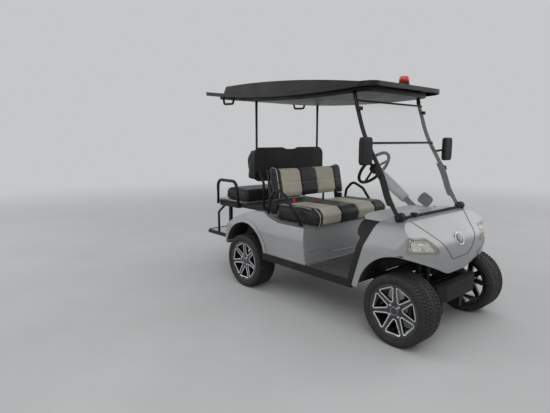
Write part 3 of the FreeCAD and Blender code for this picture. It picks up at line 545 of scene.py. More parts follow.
# a tyre's section turned about its axle: the tread's height drops by zigzag channels and leaning slots
def tyreMesh(name, centre, side):
    w = wheel
    half, rim = w["halfWidth"], w["rimRadius"]
    section = np.array([
        [w["bead"], w["beadRadius"]], [w["bead"], rim - 0.004], [w["bead"] + 0.002, rim],
        [half - 0.0065, rim + 0.004], [half - 0.002, rim + 0.011], [half, rim + 0.02],
        [half - 0.0005, rim + 0.03], [half - 0.003, rim + 0.038], [half - 0.0035, rim + 0.042],
        [half - 0.0065, w["radius"] - 0.011], [half - 0.0085, w["radius"] - 0.007],
        [half - 0.0115, w["radius"] - 0.0035], [half - 0.016, w["radius"] - 0.0012],
    ])
    across = np.linspace(half - 0.021, -(half - 0.021), 53)
    tread = np.stack([across, np.full_like(across, w["radius"])], 1)
    profile = np.vstack([section, tread, section[::-1] * [-1, 1], [[0, w["beadRadius"]]]])
    angle = np.linspace(0, 2 * np.pi, w["stepsAround"], endpoint=False)
    y = profile[:, 0][None, :]
    r = np.repeat(profile[:, 1][None, :], len(angle), 0)
    turn = angle[:, None] * w["pitches"] / (2 * np.pi)
    sign = np.where(y > 0, 1, -1)
    zigzag = w["zigzag"] * (np.abs((turn % 1) - 0.5) * 4 - 1)
    channels = np.zeros_like(r)
    for place, wide in w["channels"]:
        distance = np.abs(np.abs(y) - place - zigzag * sign)
        channels = np.maximum(channels, 1 - smoothStep(distance, wide * 0.45, wide * 0.85))
    lean = w["slotLean"] * (np.abs(y) - w["slotStart"]) * sign
    phase = np.abs(((turn + lean + 0.25 * (np.abs(y) > w["slotShift"])) % 1) - 0.5)
    slots = (1 - smoothStep(phase, 0.10, 0.17)) * (np.abs(y) > w["slotStart"])
    shoulder = smoothStep(r, w["radius"] - 0.012, w["radius"] - 0.004)
    cut = np.maximum(channels * (np.abs(y) < w["channelEnd"]), slots) * shoulder
    r = r - w["grooveDepth"] * cut - w["wear"] * (1 + np.sin(turn * 6 * np.pi + y * 400)) * shoulder
    points = np.stack([centre[0] + r * np.sin(angle)[:, None], np.broadcast_to(centre[1] + y * side, r.shape),
                       centre[2] + r * np.cos(angle)[:, None]], -1)
    return gridMesh(name, points, True, True)


# how far the rim's face stands out from the wheel's middle, by the distance from the axle
def rimFace(r):
    return np.interp(r, [0.0, 0.031, 0.031, 0.062, 0.164, 0.184], [0.080, 0.080, 0.080, 0.072, 0.086, 0.0948])


# a window's outline with its middle under the axle: two points on each radius, with round corners
def windowOutline(steps):
    half = []
    for radius, share in wheel["windowEnds"]:
        angle = share * 2 * math.pi / wheel["windows"]
        half.append((-radius * math.sin(angle), -radius * math.cos(angle), wheel["windowRound"]))
    return roundOutline(mirrored(half), steps)


# x and z of an outline turned about the axle by so many of the windows' pitches
def turnedWindow(loop, number):
    angle = number * 2 * math.pi / wheel["windows"]
    c, s = math.cos(angle), math.sin(angle)
    return loop[:, 0] * c - loop[:, 1] * s, loop[:, 0] * s + loop[:, 1] * c


# a machined frame round each window: the window's outline, drawn out by the frame's width, with a
# low flat-topped ridge as its section
def rimTrimMesh(name, centre, side):
    w = wheel
    loop = evenOutline(windowOutline(6), 140)
    out = outward(loop)
    ridge = [(0.0, -0.0015), (0.0, 0.6), (0.12, 1.0), (0.88, 1.0), (1.0, 0.6), (1.0, -0.0015)]
    meshes = []
    for number in range(w["windows"]):
        rows = []
        for share, rise in ridge:
            x, z = turnedWindow(loop + out * share * w["frameWidth"], number)
            y = rimFace(np.hypot(x, z)) + (rise * w["frameRise"] if rise > 0 else -0.001)
            rows.append(np.stack([centre[0] + x, centre[1] + side * y, centre[2] + z], -1))
        meshes.append(gridMesh(name, np.stack(rows, 1), True, True, False, False))
    for number in range(w["lugs"]):
        turn = math.pi / 4 + number * 2 * math.pi / w["lugs"]
        start = np.array(centre) + [w["lugCircle"] * math.cos(turn), side * w["nutPlace"],
                                    w["lugCircle"] * math.sin(turn)]
        nut = [(0.0098, -0.003), (0.0098, 0.002), (0.0088, 0.0022), (0.0088, 0.008), (0.0072, 0.0102),
               (0.003, 0.0112)]
        meshes.append(turnedMesh(name, nut, start, (0, side, 0), 6, None, False))
    return joinMeshes(name, meshes)


# the centre cap: a plain low dome with a bright ring
def rimCapMesh(name, centre, side):
    start = (centre[0], centre[1] + side * 0.0795, centre[2])
    dome = [(0.027, -0.003), (0.027, 0.003), (0.0255, 0.0048), (0.02, 0.0062), (0.01, 0.0072),
            (0.002, 0.0075)]
    ring = [(0.0295, -0.002), (0.0295, 0.0028), (0.0285, 0.0036), (0.0272, 0.0028), (0.0272, -0.002)]
    return joinMeshes(name, [(turnedMesh(name, line, start, (0, side, 0), 40), number)
                             for number, line in enumerate((dome, ring))])


# a rim: its section turned about the axle, less one window after another; drawn for the left side
def rimMesh(name):
    face = rimFace(0.164)
    section = np.array([
        (0.192, -0.089), (0.192, -0.095), (0.172, -0.095), (0.172, 0.062), (0.062, 0.046), (0.062, 0.01),
        (0.0201, 0.01), (0.0201, 0.062), (0.006, 0.062), (0.006, 0.08), (0.031, 0.08), (0.031, 0.08),
        (0.062, 0.072), (0.164, face), (0.184, 0.095), (0.192, 0.095), (0.192, 0.089), (0.178, 0.089),
        (0.178, -0.089),
    ])
    angle = np.linspace(0, 2 * np.pi, 126, endpoint=False)
    r, y = section[:, :1], np.broadcast_to(section[:, 1:], (len(section), 126))
    rim = gridMesh(name, np.stack([r * np.sin(angle), y, r * np.cos(angle)], -1), True, True, False, False)
    cutters = []
    for number in range(wheel["windows"]):
        x, z = turnedWindow(windowOutline(5), number)
        ends = np.stack(np.broadcast_arrays(x, np.array([[0.02], [0.12]]), z), -1)
        cutters.append(gridMesh(name, ends, False, True, True, False))
    return smoothByAngle(cutAway(rim, joinMeshes(name, cutters)), 30)


baseRim = rimMesh("rim")
corners = {"front_right": (frontAxle, -0.487, -1), "front_left": (frontAxle, 0.487, 1),
           "rear_right": (rearAxle, -0.502, -1), "rear_left": (rearAxle, 0.502, 1)}
for corner, (x, y, side) in corners.items():
    centre = (x, y, wheel["radius"])
    rides = "wheel_" + corner
    tyre = tyreMesh("treaded_tyre", centre, side)
    addPiece("treaded_tyre_" + corner, tyre, "tyre_rubber", rides, ["tyre_" + corner])
    rim = baseRim.copy()
    setPoints(rim, meshPoints(baseRim) * [1, side, 1] + centre)
    if side < 0:
        rim.flip_normals()
    addPiece("open_rim_" + corner, rim, "rim_black", rides, ["rim_" + corner])
    addPiece("rim_trim_" + corner, rimTrimMesh("rim_trim", centre, side), "machined_alloy", rides)
    cap = rimCapMesh("rim_cap", centre, side)
    addPiece("rim_cap_" + corner, cap, ["rim_black", "chrome"], rides)
print("wheels made")

seats = {
    # the CAD section in x and z from the rear axle, half the width, how far the form starts inside it,
    # the ends' rounding, the furthest that the cloth may move, seams, piping and cross stitches
    "front_seat_cushion": {
        "section": [(342, 436.6, 18), (868, 436.6, 26), (879, 545, 46), (800, 580, 60), (342, 572, 26)],
        "half": 500, "inset": 7, "round": 34, "most": 0.016, "seams": seatSeams, "ends": 0.445,
        "cross": [("x", 0.55, 0.0035)], "body": "front_seat", "finish": "vinyl_seat",
    },
    "front_seat_back": {
        "section": [(262, 607, 20), (345, 607, 22), (285, 880, 40), (270, 905, 22), (195, 905, 22),
                    (215, 800, 60)],
        "half": 482, "inset": 7, "round": 30, "most": 0.014, "seams": backSeams, "ends": 0.43,
        "cross": [("z", 0.52, 0.0035)], "body": "chassis", "finish": "vinyl_back",
    },
    "rear_seat_cushion": {
        "section": [(-578, 530.2, 12), (-182, 530.2, 14), (-182, 640, 40), (-500, 652, 46), (-578, 632, 44)],
        "half": 415, "inset": 6, "round": 36, "most": 0.014, "seams": [], "ends": 0.375, "cross": [],
        "body": "rear_seat", "finish": "vinyl_black",
    },
    "rear_seat_back": {
        "section": [(-28.5, 756, 8), (-28.5, 1066, 18), (-110, 1056, 40), (-166, 970, 60), (-163, 767, 30)],
        "half": 435, "inset": 6, "round": 34, "most": 0.012, "seams": [], "ends": 0.405, "cross": [],
        "body": "chassis", "finish": "vinyl_black",
    },
}


# the start form of a cushion: its section drawn in along its own normals, more so towards both ends,
# where a quarter circle rounds it over
def cushionForm(name, seat):
    section = evenOutline(roundOutline(seat["section"], 8), 150)
    half, bend = seat["half"] - seat["inset"], seat["round"]
    rounding = bend * (1 - np.sin(np.linspace(0, np.pi / 2, 8)))
    across = np.concatenate([rounding[::-1] - half, np.linspace(-half + bend, half - bend, 40)[1:-1],
                             half - rounding])
    over = np.clip((np.abs(across) - (half - bend)) / bend, 0, 1)
    inset = seat["inset"] + bend * 0.9 * (1 - np.sqrt(1 - over**2))
    p = section[None] - outward(section)[None] * inset[:, None, None]
    points = fromAxle(rearAxle, p[..., 0], across[:, None], p[..., 1])
    return gridMesh(name, points, False, True, True)


# swells a mesh as cloth under pressure for a few frames, each point by at most a set distance
def swell(piece, most, voxel=0.0075, pressure=4.0, stiffness=12, frames=20):
    scene = bpy.context.scene
    remesh = piece.modifiers.new("even", "REMESH")
    remesh.mode = "VOXEL"
    remesh.voxel_size = voxel
    remesh.use_smooth_shade = True
    applyModifiers(piece)
    start = meshPoints(piece.data)
    cloth = piece.modifiers.new("cloth", "CLOTH")
    cloth.settings.quality = 4
    cloth.settings.mass = 0.3
    cloth.settings.use_pressure = True
    cloth.settings.uniform_pressure_force = pressure
    cloth.settings.effector_weights.gravity = 0
    cloth.settings.tension_stiffness = stiffness
    cloth.settings.compression_stiffness = stiffness
    cloth.point_cache.frame_end = frames + 1
    for number in range(1, frames + 1):
        scene.frame_set(number)
    applyModifiers(piece)
    scene.frame_set(1)
    moved = meshPoints(piece.data) - start
    length = np.linalg.norm(moved, axis=1)[:, None]
    return start + moved * np.minimum(1, most / np.maximum(length, 1e-9))


def applyModifiers(piece):
    shape = piece.evaluated_get(bpy.context.evaluated_depsgraph_get())
    mesh = bpy.data.meshes.new_from_object(shape)
    piece.modifiers.clear()
    old = piece.data
    piece.data = mesh
    bpy.data.meshes.remove(old)


# the closed line where the plane y = place cuts a mesh, by angle about its middle
def sectionLine(mesh, place, count=150, lift=0.001):
    bm = bmesh.new()
    bm.from_mesh(mesh)
    cut = bmesh.ops.bisect_plane(bm, geom=bm.verts[:] + bm.edges[:] + bm.faces[:],
                                 plane_co=(0, place, 0), plane_no=(0, 1, 0))
    p = np.array([v.co[:] for v in cut["geom_cut"] if isinstance(v, bmesh.types.BMVert)])
    bm.free()
    middle = p.mean(0)
    angle = np.arctan2(p[:, 2] - middle[2], p[:, 0] - middle[0])
    order = np.argsort(angle)
    radius = np.hypot(p[:, 0] - middle[0], p[:, 2] - middle[2])[order] + lift
    angle = angle[order]
    even = np.linspace(-np.pi, np.pi, count, endpoint=False)
    r = np.interp(even, angle, radius, period=2 * np.pi)
    line = np.stack([middle[0] + r * np.cos(even), np.full(count, place), middle[2] + r * np.sin(even)], -1)
    return evenOutline(line, count)


for name, seat in seats.items():
    piece = addPiece("padded_" + name, cushionForm(name, seat), seat["finish"], seat["body"],
                     [name])
    points = swell(piece, seat["most"])
    mesh = piece.data
    setPoints(mesh, points)
    normals = meshPoints(mesh, "normal")
    # sewn channels: a narrow dip of a bell's shape at each seam, and a shallow one at each cross stitch
    seamDepth, seamWidth, stitchWidth = 0.0075, 0.0065, 0.007
    depth = np.zeros(len(points))
    for seam in seat["seams"]:
        depth = np.maximum(depth, seamDepth * np.exp(-((points[:, 1] - seam) / seamWidth) ** 2))
    low, high = points.min(0), points.max(0)
    for letter, share, deep in seat["cross"]:
        k = "xyz".index(letter)
        place = low[k] + (high[k] - low[k]) * share
        dip = deep * np.exp(-((points[:, k] - place) / stitchWidth) ** 2)
        depth = np.maximum(depth, dip * (np.abs(points[:, 1]) < seat["ends"]))
    points = points - normals * depth[:, None]
    # it stays in the CAD solid's space, and rests flat on what carries it
    lowest, highest = (np.array(v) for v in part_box(name))
    points = np.clip(points, lowest, highest)
    setPoints(mesh, points)
    shade(mesh)
    pipeRadius, inside = 0.0038, 0.004
    ends = (-seat["ends"], seat["ends"])
    lines = [np.clip(sectionLine(mesh, place), lowest + inside, highest - inside) for place in ends]
    pipes = joinMeshes(name, [tubeMesh(name, line, pipeRadius, 8, True) for line in lines])
    addPiece("piping_" + name, pipes, "seat_piping" if seat["seams"] else "vinyl_black", seat["body"])
print("cushions made")


# corners drawn in by an inset: each side moves square to itself, and the next corners are where the
# moved sides meet; a convex corner's radius shrinks by the inset and a hollow one's grows
def insetCorners(corners, inset):
    p = np.array([c[:2] for c in corners], float)
    radius = np.array([c[2] if len(c) > 2 else 0 for c in corners], float)
    along = unit(np.roll(p, -1, 0) - p)
    area = (p[:, 0] * np.roll(p[:, 1], -1) - p[:, 1] * np.roll(p[:, 0], -1)).sum()
    inward = np.stack([-along[:, 1], along[:, 0]], -1) * np.sign(area)
    back, backInward = np.roll(along, 1, 0), np.roll(inward, 1, 0)
    total = inward + backInward
    moved = p + inset * total / (1 + (inward * backInward).sum(1))[:, None]
    convex = (back[:, 0] * along[:, 1] - back[:, 1] * along[:, 0]) * np.sign(area) > 0
    radius = np.where(radius > 0, np.maximum(radius + np.where(convex, -inset, inset), 0.5), 0)
    return [(u, v, r) for (u, v), r in zip(moved.tolist(), radius.tolist())]


# a prism on an outline drawn in the xz, yz or xy plane, between two places along the third axis
def prismMesh(axle, plane, corners, low, high, inset=0, steps=10):
    loop = roundOutline(insetCorners(corners, inset) if inset else corners, steps)
    u, v = loop[:, 0], loop[:, 1]
    ends = np.array([low, high], float)[:, None]
    places = {"xz": (u, ends, v), "yz": (ends, u, v), "xy": (u, v, ends)}[plane]
    return gridMesh("prism", fromAxle(axle, *places), False, True, True, False)


# a box between two opposite corners
def boxMesh(axle, low, high):
    corners = [(low[0], low[1]), (high[0], low[1]), (high[0], high[1]), (low[0], high[1])]
    return prismMesh(axle, "xy", corners, low[2], high[2])


# a line through points (x, y, z, radius) with an arc at each point that has a radius
def roundPath(points, steps=8):
    p = np.array([point[:3] for point in points], float)
    arcs = [cornerArc(*p[k - 1:k + 2], points[k][3], steps) for k in range(1, len(p) - 1)]
    return np.vstack([p[:1], *arcs, p[-1:]])


# a round bar along such a line, in millimetres from an axle
def barMesh(axle, points, radius, sides=16):
    return tubeMesh("bar", fromAxle(axle, *roundPath(points).T), radius / 1000, sides)


def bothSides(mesh):
    return [mesh, mirrorMesh(mesh)]


# where rays from points in one direction meet a mesh; those that miss are left out
def castOn(mesh, points, direction, lift=0.0):
    tree = BVHTree.FromPolygons([v.co for v in mesh.vertices], [p.vertices for p in mesh.polygons])
    hits = [tree.ray_cast(Vector(point), Vector(direction)) for point in points]
    return np.array([(place + normal * lift)[:] for place, normal, number, far in hits if place is not None])


panel = {
    # in millimetres from the front axle; an arch is its radius and its middle's x and z from its axle
    "halfWidth": 598, "wall": 5, "cowlBack": -349, "nose": 168, "top": 620, "noseBottom": 205, "trimWall": 16,
    "frontArch": (324, 30, 60), "rearArch": (295, 20, 83), "lipWidth": 34, "lipRise": 8,
}


# the cowl as it looks from ahead
def cowlFront(inset, low=-560, high=400):
    wide, top = panel["halfWidth"], panel["top"] + 2
    half = [(wide - 298, top, 300), (wide - 80, 575, 120), (wide, 410, 140), (wide, -80)]
    return prismMesh(frontAxle, "yz", mirrored(half), low, high, inset, 14)


# the cowl's block: what its side, plan and front outlines have in common
def cowlBlock(inset):
    openBy = 60 if inset > 0 else 0
    back, nose, wide, top = panel["cowlBack"] - openBy, panel["nose"], panel["halfWidth"], panel["top"]
    side = prismMesh(frontAxle, "xz", [
        (back, 100 - openBy), (back + 96, 420), (back + 142, top - 60, 40), (back + 174, top, 20),
        (-36, top - 10, 160), (nose - 12, 445, 100), (nose, 360, 80), (nose - 26, panel["noseBottom"]),
        (nose - 60, 100 - openBy),
    ], -700, 700, inset, 12)
    half = [(back, -wide), (20, -wide, 150), (nose - 50, -wide + 118, 120), (nose, -wide + 298, 220)]
    plan = prismMesh(frontAxle, "xy", mirrored(half, True), -10, 810, inset, 12)
    return shared(side, plan, cowlFront(inset))


# a disc through the cart where an arch is, larger by a set amount
def archDisc(axle, arch, grow=0):
    radius, x, z = arch
    ring = [((radius + grow) / 1000, -0.7), ((radius + grow) / 1000, 0.7)]
    return turnedMesh("arch", ring, fromAxle(axle, x, 0, z), (0, 1, 0), 120, None, False)


# the cowl's lower edge from ahead: low under the nose and up to the arches at each side
def noseEdge(rise):
    wide, top = panel["halfWidth"], panel["frontArch"][0] + panel["frontArch"][2]
    side = [(-wide - 100, 0), (-wide - 100, top + rise), (-wide + 8, top + rise, 80),
            (-wide + 198, top - 72 + rise, 300), (-130, panel["noseBottom"] + rise, 220)]
    return mirrored(side)


wide = panel["halfWidth"]
outer = cowlBlock(0)
arch = cutAway(archDisc(frontAxle, panel["frontArch"]),
               boxMesh(frontAxle, (-400, -300, -400), (400, 300, 500)),
               boxMesh(frontAxle, (20, -800, -400), (500, 800, 500)))
wedge = prismMesh(frontAxle, "yz", noseEdge(0), 20, 400, 0, 14)
under = boxMesh(frontAxle, (panel["cowlBack"] - 10, -wide + 30, -20), (100, wide - 30, panel["noseBottom"]))
cowl = cutAway(outer, cowlBlock(panel["wall"]), arch, wedge, under)
proud = cowlBlock(-panel["lipRise"])
sideLip = shared(archDisc(frontAxle, panel["frontArch"], panel["lipWidth"]), proud,
                 boxMesh(frontAxle, (panel["cowlBack"] + 4, -700, 100), (20.5, 700, 500)))
sideLip = cutAway(sideLip, archDisc(frontAxle, panel["frontArch"]), outer)
noseLip = cutAway(prismMesh(frontAxle, "yz", noseEdge(panel["lipWidth"]), 20, 400, 0, 14),
                  boxMesh(frontAxle, (10, -300, -20), (410, 300, 420)))
noseLip = shared(noseLip, proud)
noseLip = cutAway(noseLip, outer, wedge)
lampCorners = [(wide - 53, 411, 12), (wide - 53, 512, 14), (wide - 218, 496, 30), (wide - 318, 384, 12)]


# both lamps' outlines through the cowl's front, drawn in by an inset
def lampZones(inset=0, low=0, high=400):
    return bothSides(prismMesh(frontAxle, "yz", lampCorners, low, high, inset))


cowl = cutAway(cowl, *lampZones())
addPiece("cowl_shell", smoothByAngle(cowl), "silver_paint", hides=["front_cowl", "bonnet_panel"])
addPiece("cowl_lips", [smoothByAngle(sideLip), smoothByAngle(noseLip)], "silver_paint")
print("cowl made:", len(cowl.polygons), "faces")

# rear fenders' lips, and the same arches' liners
rearSide = [(-275, 140), (835, 140), (795, 436), (480, 436, 60), (340, 468, 40), (270, 502, 30),
            (180, 502, 60), (40, 478, 60), (-140, 415, 60), (-275, 320, 50)]
rearFront = mirrored([(-598, 0), (-598, 330, 120), (-558, 520), (-538, 560)])


# the rear body's block: what its side and front outlines have in common
def rearBlock(inset):
    return shared(prismMesh(rearAxle, "xz", rearSide, -700, 700, inset, 10),
                  prismMesh(rearAxle, "yz", rearFront, -400, 1000, inset, 12))


rearLip = shared(archDisc(rearAxle, panel["rearArch"], panel["lipWidth"]),
                 rearBlock(-panel["lipRise"]), boxMesh(rearAxle, (-400, -700, 141), (400, 700, 452)))
rearLip = cutAway(rearLip, archDisc(rearAxle, panel["rearArch"], -1), rearBlock(0),
                  boxMesh(rearAxle, (-400, -380, -400), (400, 380, 600)))
addPiece("fender_lips", smoothByAngle(rearLip), "silver_paint")


# a liner's band: an arc of a little more than the arch, three millimetres thick
def linerMesh(axle, arch, low, high, start, end):
    radius, x, z = arch
    angle = np.radians(np.linspace(start, end, 40))
    rows = [fromAxle(axle, x + r * np.cos(angle)[:, None], np.array([a, b])[None],
                     z + r * np.sin(angle)[:, None])
            for r, a, b in ((radius + 5, low, high), (radius + 8, high, low))]
    return gridMesh("liner", np.concatenate(rows, 1), False, True, True)


liners = bothSides(linerMesh(frontAxle, panel["frontArch"], 262, 590, 86, 168))
liners += bothSides(linerMesh(rearAxle, panel["rearArch"], 372, 588, 8, 172))
addPiece("liner_sheets", liners, "black_plastic", hides=["wheel_liners"])

# black cap on the cowl's rear edge, narrow beside the floor and wide beside the dash
trimBack, top = panel["cowlBack"] - 36, panel["top"]
capCorners = [(trimBack, 133), (trimBack + 84, top - 160), (trimBack + 52, top - 136, 14),
              (trimBack + 42, top - 100, 30), (trimBack + 52, top - 22, 30), (trimBack + 80, top + 30),
              (-160, top + 30), (-160, 133)]
trim = shared(cowlFront(0.4), prismMesh(frontAxle, "xz", capCorners, -720, 720))
trim = cutAway(trim, cowlFront(panel["trimWall"], -570, 410), outer,
               boxMesh(frontAxle, (-700, -wide + 118, 0), (0, wide - 118, 700)))
addPiece("cowl_cap", smoothByAngle(trim), "black_plastic", hides=["cowl_trim"])

# dash shell, its back drawn forward towards both ends
dashSide = [(-220, 478), (-150, top - 12), (-400, top - 6, 20), (-430, top - 60, 20), (-385, 478, 20)]
dashPlan = mirrored([(-440, -340, 200), (-235, -600), (0, -600)], True)
dash = shared(prismMesh(frontAxle, "xz", dashSide, -600, 600), cowlFront(panel["trimWall"] + 1),
              prismMesh(frontAxle, "xy", dashPlan, 300, 800))
addPiece("dash_shell", smoothByAngle(dash), "dash_grey", hides=["dash_panel"])
print("body panels made")

# headlamps: a clear lens in the cowl's surface, a bezel round it, and two bowls on a pale back
lens = cutAway(outer, cowlBlock(4))
lens = shared(lens, joinMeshes("zones", lampZones(0.5)))
addPiece("lamp_lenses", smoothByAngle(lens), "lamp_clear", hides=["headlamps"])
bezel = shared(cowlBlock(-1.2), joinMeshes("zones", lampZones(-3)))
bezel = cutAway(bezel, cowlBlock(14), joinMeshes("zones", lampZones(7, -10, 410)))
addPiece("lamp_bezels", smoothByAngle(bezel), "lamp_bezel")
backs = cutAway(cowlBlock(24), cowlBlock(27))
backs = shared(backs, joinMeshes("zones", lampZones(-2)))
bowls = [(smoothByAngle(backs), 1)]
bowlSection = np.array([(0.006, -0.004), (0.02, 0.0), (0.03, 0.007), (0.034, 0.016), (0.0352, 0.016),
                        (0.031, 0.0055), (0.02, -0.002), (0.006, -0.006)])
for y, z, size in ((0.497, 456, 1.0), (0.405, 440, 0.85)):
    place = castOn(outer, [fromAxle(frontAxle, 400, y * 1000, z)], (-1, 0, 0))[0]
    bowl = turnedMesh("bowl", bowlSection * size, place - [0.028, 0, 0], (1, 0.12, 0), 36)
    bowls += [(side, 1) for side in bothSides(bowl)]
addPiece("lamp_bowls", bowls, ["lamp_bezel", "lamp_reflector"])

# bonnet seam: the panel's outline from ahead, laid on the cowl
bonnetCorners = mirrored([(-440, 650), (-293, 503, 120), (-120, 316, 90)])
loop = evenOutline(roundOutline(bonnetCorners, 12), 130, False)
seam = castOn(outer, fromAxle(frontAxle, 400, *loop.T), (-1, 0, 0))
addPiece("bonnet_seam", tubeMesh("seam", seam, 0.0026, 8), "panel_seam")

# blank oval badge with a thin bright rim
badgeTurn = turnY(-28)
badgePlace = np.array([1.2825, 0, 0.699])
angle = np.linspace(0, 2 * np.pi, 64, endpoint=False)
oval = np.stack([np.zeros(64), 0.0525 * np.cos(angle), 0.045 * np.sin(angle)], -1) @ badgeTurn.T + badgePlace
dome = roundedBox("badge", badgePlace, (0.007, 0.052, 0.0445), 1.0, (24, 48), badgeTurn)
addPiece("badge_blank", [(dome, 0), (tubeMesh("badge", oval, 0.0035, 10, True), 1)], ["badge_grey", "chrome"])
print("lamps, seam and badge made")

# windscreen panes that follow the posts, their seams and the foot's seal
postLine = [(-74, 595), (-169, 733, 400), (-226, 893, 700), (-404, 1183, 900), (-501, 1475)]
near, far = 19.3, 24.3


# a strip that follows the posts' line between two distances, cut off at two heights
def screenStrip(near, far, low, high):
    strip = [(u + near, *rest) for u, *rest in postLine]
    strip += [(u + far, *rest) for u, *rest in reversed(postLine)]
    return shared(prismMesh(frontAxle, "xz", strip, -430, 430),
                  boxMesh(frontAxle, (-700, -500, low), (100, 500, high)))


panes = [smoothByAngle(screenStrip(near, far, low, high), 20) for low, high in ((621, 1126), (1129, 1440))]
addPiece("screen_panes", panes, "acrylic", hides=["windscreen"])
seal = cutAway(boxMesh(frontAxle, (-78, -396, 600), (-50, 396, 621)), outer)
strips = [screenStrip(near - 3, far + 3, low, high) for low, high in ((1119, 1136), (1428, 1442))]
clamps = []
for x, y, z, wideHalf in ((-90, -272, 624, 22), (-90, 376, 624, 22), (-478, -430, 1378, 20),
                          (-478, 430, 1378, 20)):
    place = fromAxle(frontAxle, x + 26, y, z)
    clamps.append(roundedBox("clamp", place, (0.02, wideHalf / 1000, 0.014), 0.3, (12, 20)))
addPiece("screen_trims", [seal] + strips + clamps, "rubber", hides=["screen_seal"])

# post feet with star knobs
knobLine = [(0.019, 0.0), (0.024, 0.003), (0.024, 0.011), (0.02, 0.014), (0.008, 0.016)]
hingeLine = [(0.02, 0), (0.026, 0.003), (0.026, 0.012), (0.02, 0.016)]
hardware = []


# a star knob: six lobes, the radius swelling as a cosine of six times the angle
def starKnob(line, x, y, z, side):
    return turnedMesh("knob", line, fromAxle(frontAxle, x, side * y, z), (0, side, 0), 60,
                      lambda turn: 1 + 0.1 * np.cos(6 * turn))


for side in (-1, 1):
    foot = turnedMesh("foot", [(0.026, 0), (0.031, 0.003), (0.031, 0.047), (0.026, 0.05)],
                      fromAxle(frontAxle, -74, side * 404, 620), (0, side, 0), 32)
    grip = [(u - 9, side * 430, v, *rest) for u, v, *rest in postLine]
    grip = shared(barMesh(frontAxle, grip, 24, 24), boxMesh(frontAxle, (-420, -600, 692), (0, 600, 955)))
    hardware += [smoothByAngle(mesh) for mesh in (foot, starKnob(knobLine, -74, 454, 620, side),
                                                  starKnob(hingeLine, -247, 449, 915, side), grip)]
addPiece("post_knobs", hardware, "black_plastic")

# mirrors: soft-cornered housings on stems, with a glass on the face that looks back
mirrorParts = []
housing = roundedBox("mirror", fromAxle(frontAxle, -283, 563.5, 1073), (0.02, 0.0585, 0.097), 0.3, (32, 48))
glass = roundedBox("mirror", fromAxle(frontAxle, -303.5, 563.5, 1073), (0.0015, 0.05, 0.088), 0.25, (24, 36))
stem = barMesh(frontAxle, [(-345, 440, 1050), (-300, 462, 1062, 20), (-283, 512, 1066)], 9)
for mesh, number in ((housing, 0), (glass, 1), (stem, 0)):
    mirrorParts += [(side, number) for side in bothSides(mesh)]
addPiece("mirror_sets", mirrorParts, ["black_plastic", "mirror_glass"], hides=["mirrors"])
print("screen, posts and mirrors made")


# the height of the roof's rim over the axles: a parabola, lowest 724 mm ahead of the rear axle
def rimHeight(x):
    return 1511 + 4.57e-5 * (x - 724) ** 2


# the tray under the canopy: a shallow one that follows the roof's rim
along = np.linspace(-655, 1270, 60)
trayBand = [*zip(along, rimHeight(along) - 26), *zip(along[::-1], rimHeight(along[::-1]) + 12)]
trayPlan = mirrored([(-655, -430, 80), (1270, -430, 80)], True)
tray = shared(prismMesh(rearAxle, "xz", trayBand, -600, 600), prismMesh(rearAxle, "xy", trayPlan, 1200, 1800))
addPiece("shallow_tray", smoothByAngle(tray), "roof_black", hides=["roof_tray"])
postEnds = []
for side in (-1, 1):
    foot = np.array([-491, side * 430, rimHeight(1666 - 501) - 60])
    line = foot + np.array([[0, 0, 0], [-4, 0, 12], [-15, 0, 46]])
    postEnds.append(tubeMesh("end", fromAxle(frontAxle, *line.T), 0.0152, 16))
addPiece("post_ends", postEnds, "powder_coat")

# rear posts with their step forward, and the hip and arm hoops
postTop = rimHeight(-2.5) - 24
rearPost = barMesh(rearAxle, [(90, 414.5, 518), (90, 414.5, 745, 70), (-15, 414.5, 900, 90),
                              (-15, 414.5, postTop)], 12.5)
addPiece("stepped_posts", bothSides(rearPost), "powder_coat", hides=["rear_posts"])
hip = barMesh(rearAxle, [(290, 525.5, 490), (318, 525.5, 640, 60), (400, 525.5, 722, 60),
                         (530, 525.5, 668, 90), (725, 525.5, 430)], 13.5)
arm = barMesh(rearAxle, [(-615, 465.3, 480), (-615, 465.3, 735, 70), (-292, 465.3, 735, 70),
                         (-248, 465.3, 480)], 16)
addPiece("tube_hoops", bothSides(hip) + bothSides(arm), "powder_coat", hides=["armrest_hoops"])

# the rear backrest's shell, the deck's edge with a bead on it, the footrest's plate in its rim
shellCorners = mirrored([(-470, 755, 70), (-470, 1078, 80), (-110, 1078, 60), (-60, 1060, 60)])
backShell = prismMesh(rearAxle, "yz", shellCorners, -2, 20, 0, 12)
addPiece("back_shell", smoothByAngle(backShell), "black_plastic", hides=["rear_back_shell"])
deckEdge = prismMesh(rearAxle, "xy", mirrored([(-635.5, -449, 40), (-282, -449)], True), 462, 478)
bead = roundPath(mirrored([(-284, -449.5, 0), (-635.5, -449.5, 0, 40)], True))
beadLine = fromAxle(rearAxle, bead[:, 0] + 1.5, bead[:, 1] * 0.997, 512)
deckParts = [smoothByAngle(deckEdge), tubeMesh("bead", beadLine, 0.0055, 10)]
addPiece("deck_edge", deckParts, "black_plastic")
plateOutline = mirrored([(-848, -444, 20), (-462, -444, 20)], True)
rimOutline = mirrored([(-855, -451, 26), (-455, -451, 26)], True)
plate = prismMesh(rearAxle, "xy", plateOutline, 148.2, 158)
ring = cutAway(prismMesh(rearAxle, "xy", rimOutline, 124, 163),
               prismMesh(rearAxle, "xy", plateOutline, 100, 180))
addPiece("footrest_plate", [(smoothByAngle(plate), 0), (smoothByAngle(ring), 1)],
         ["tread_plate", "powder_coat"])
handleTop = rimHeight(-360) - 2
handle = barMesh(rearAxle, [(-462, 485, handleTop + 20), (-442, 485, handleTop - 60, 24),
                            (-298, 485, handleTop - 64, 24), (-260, 485, handleTop + 20)], 11)
handles = bothSides(handle)
for x in (-458, -266):
    place = fromAxle(rearAxle, x, 485, handleTop + 3)
    handles += bothSides(roundedBox("mount", place, (0.024, 0.018, 0.006), 0.3, (12, 20)))
addPiece("grab_handles", handles, "black_plastic", hides=["roof_handles"])
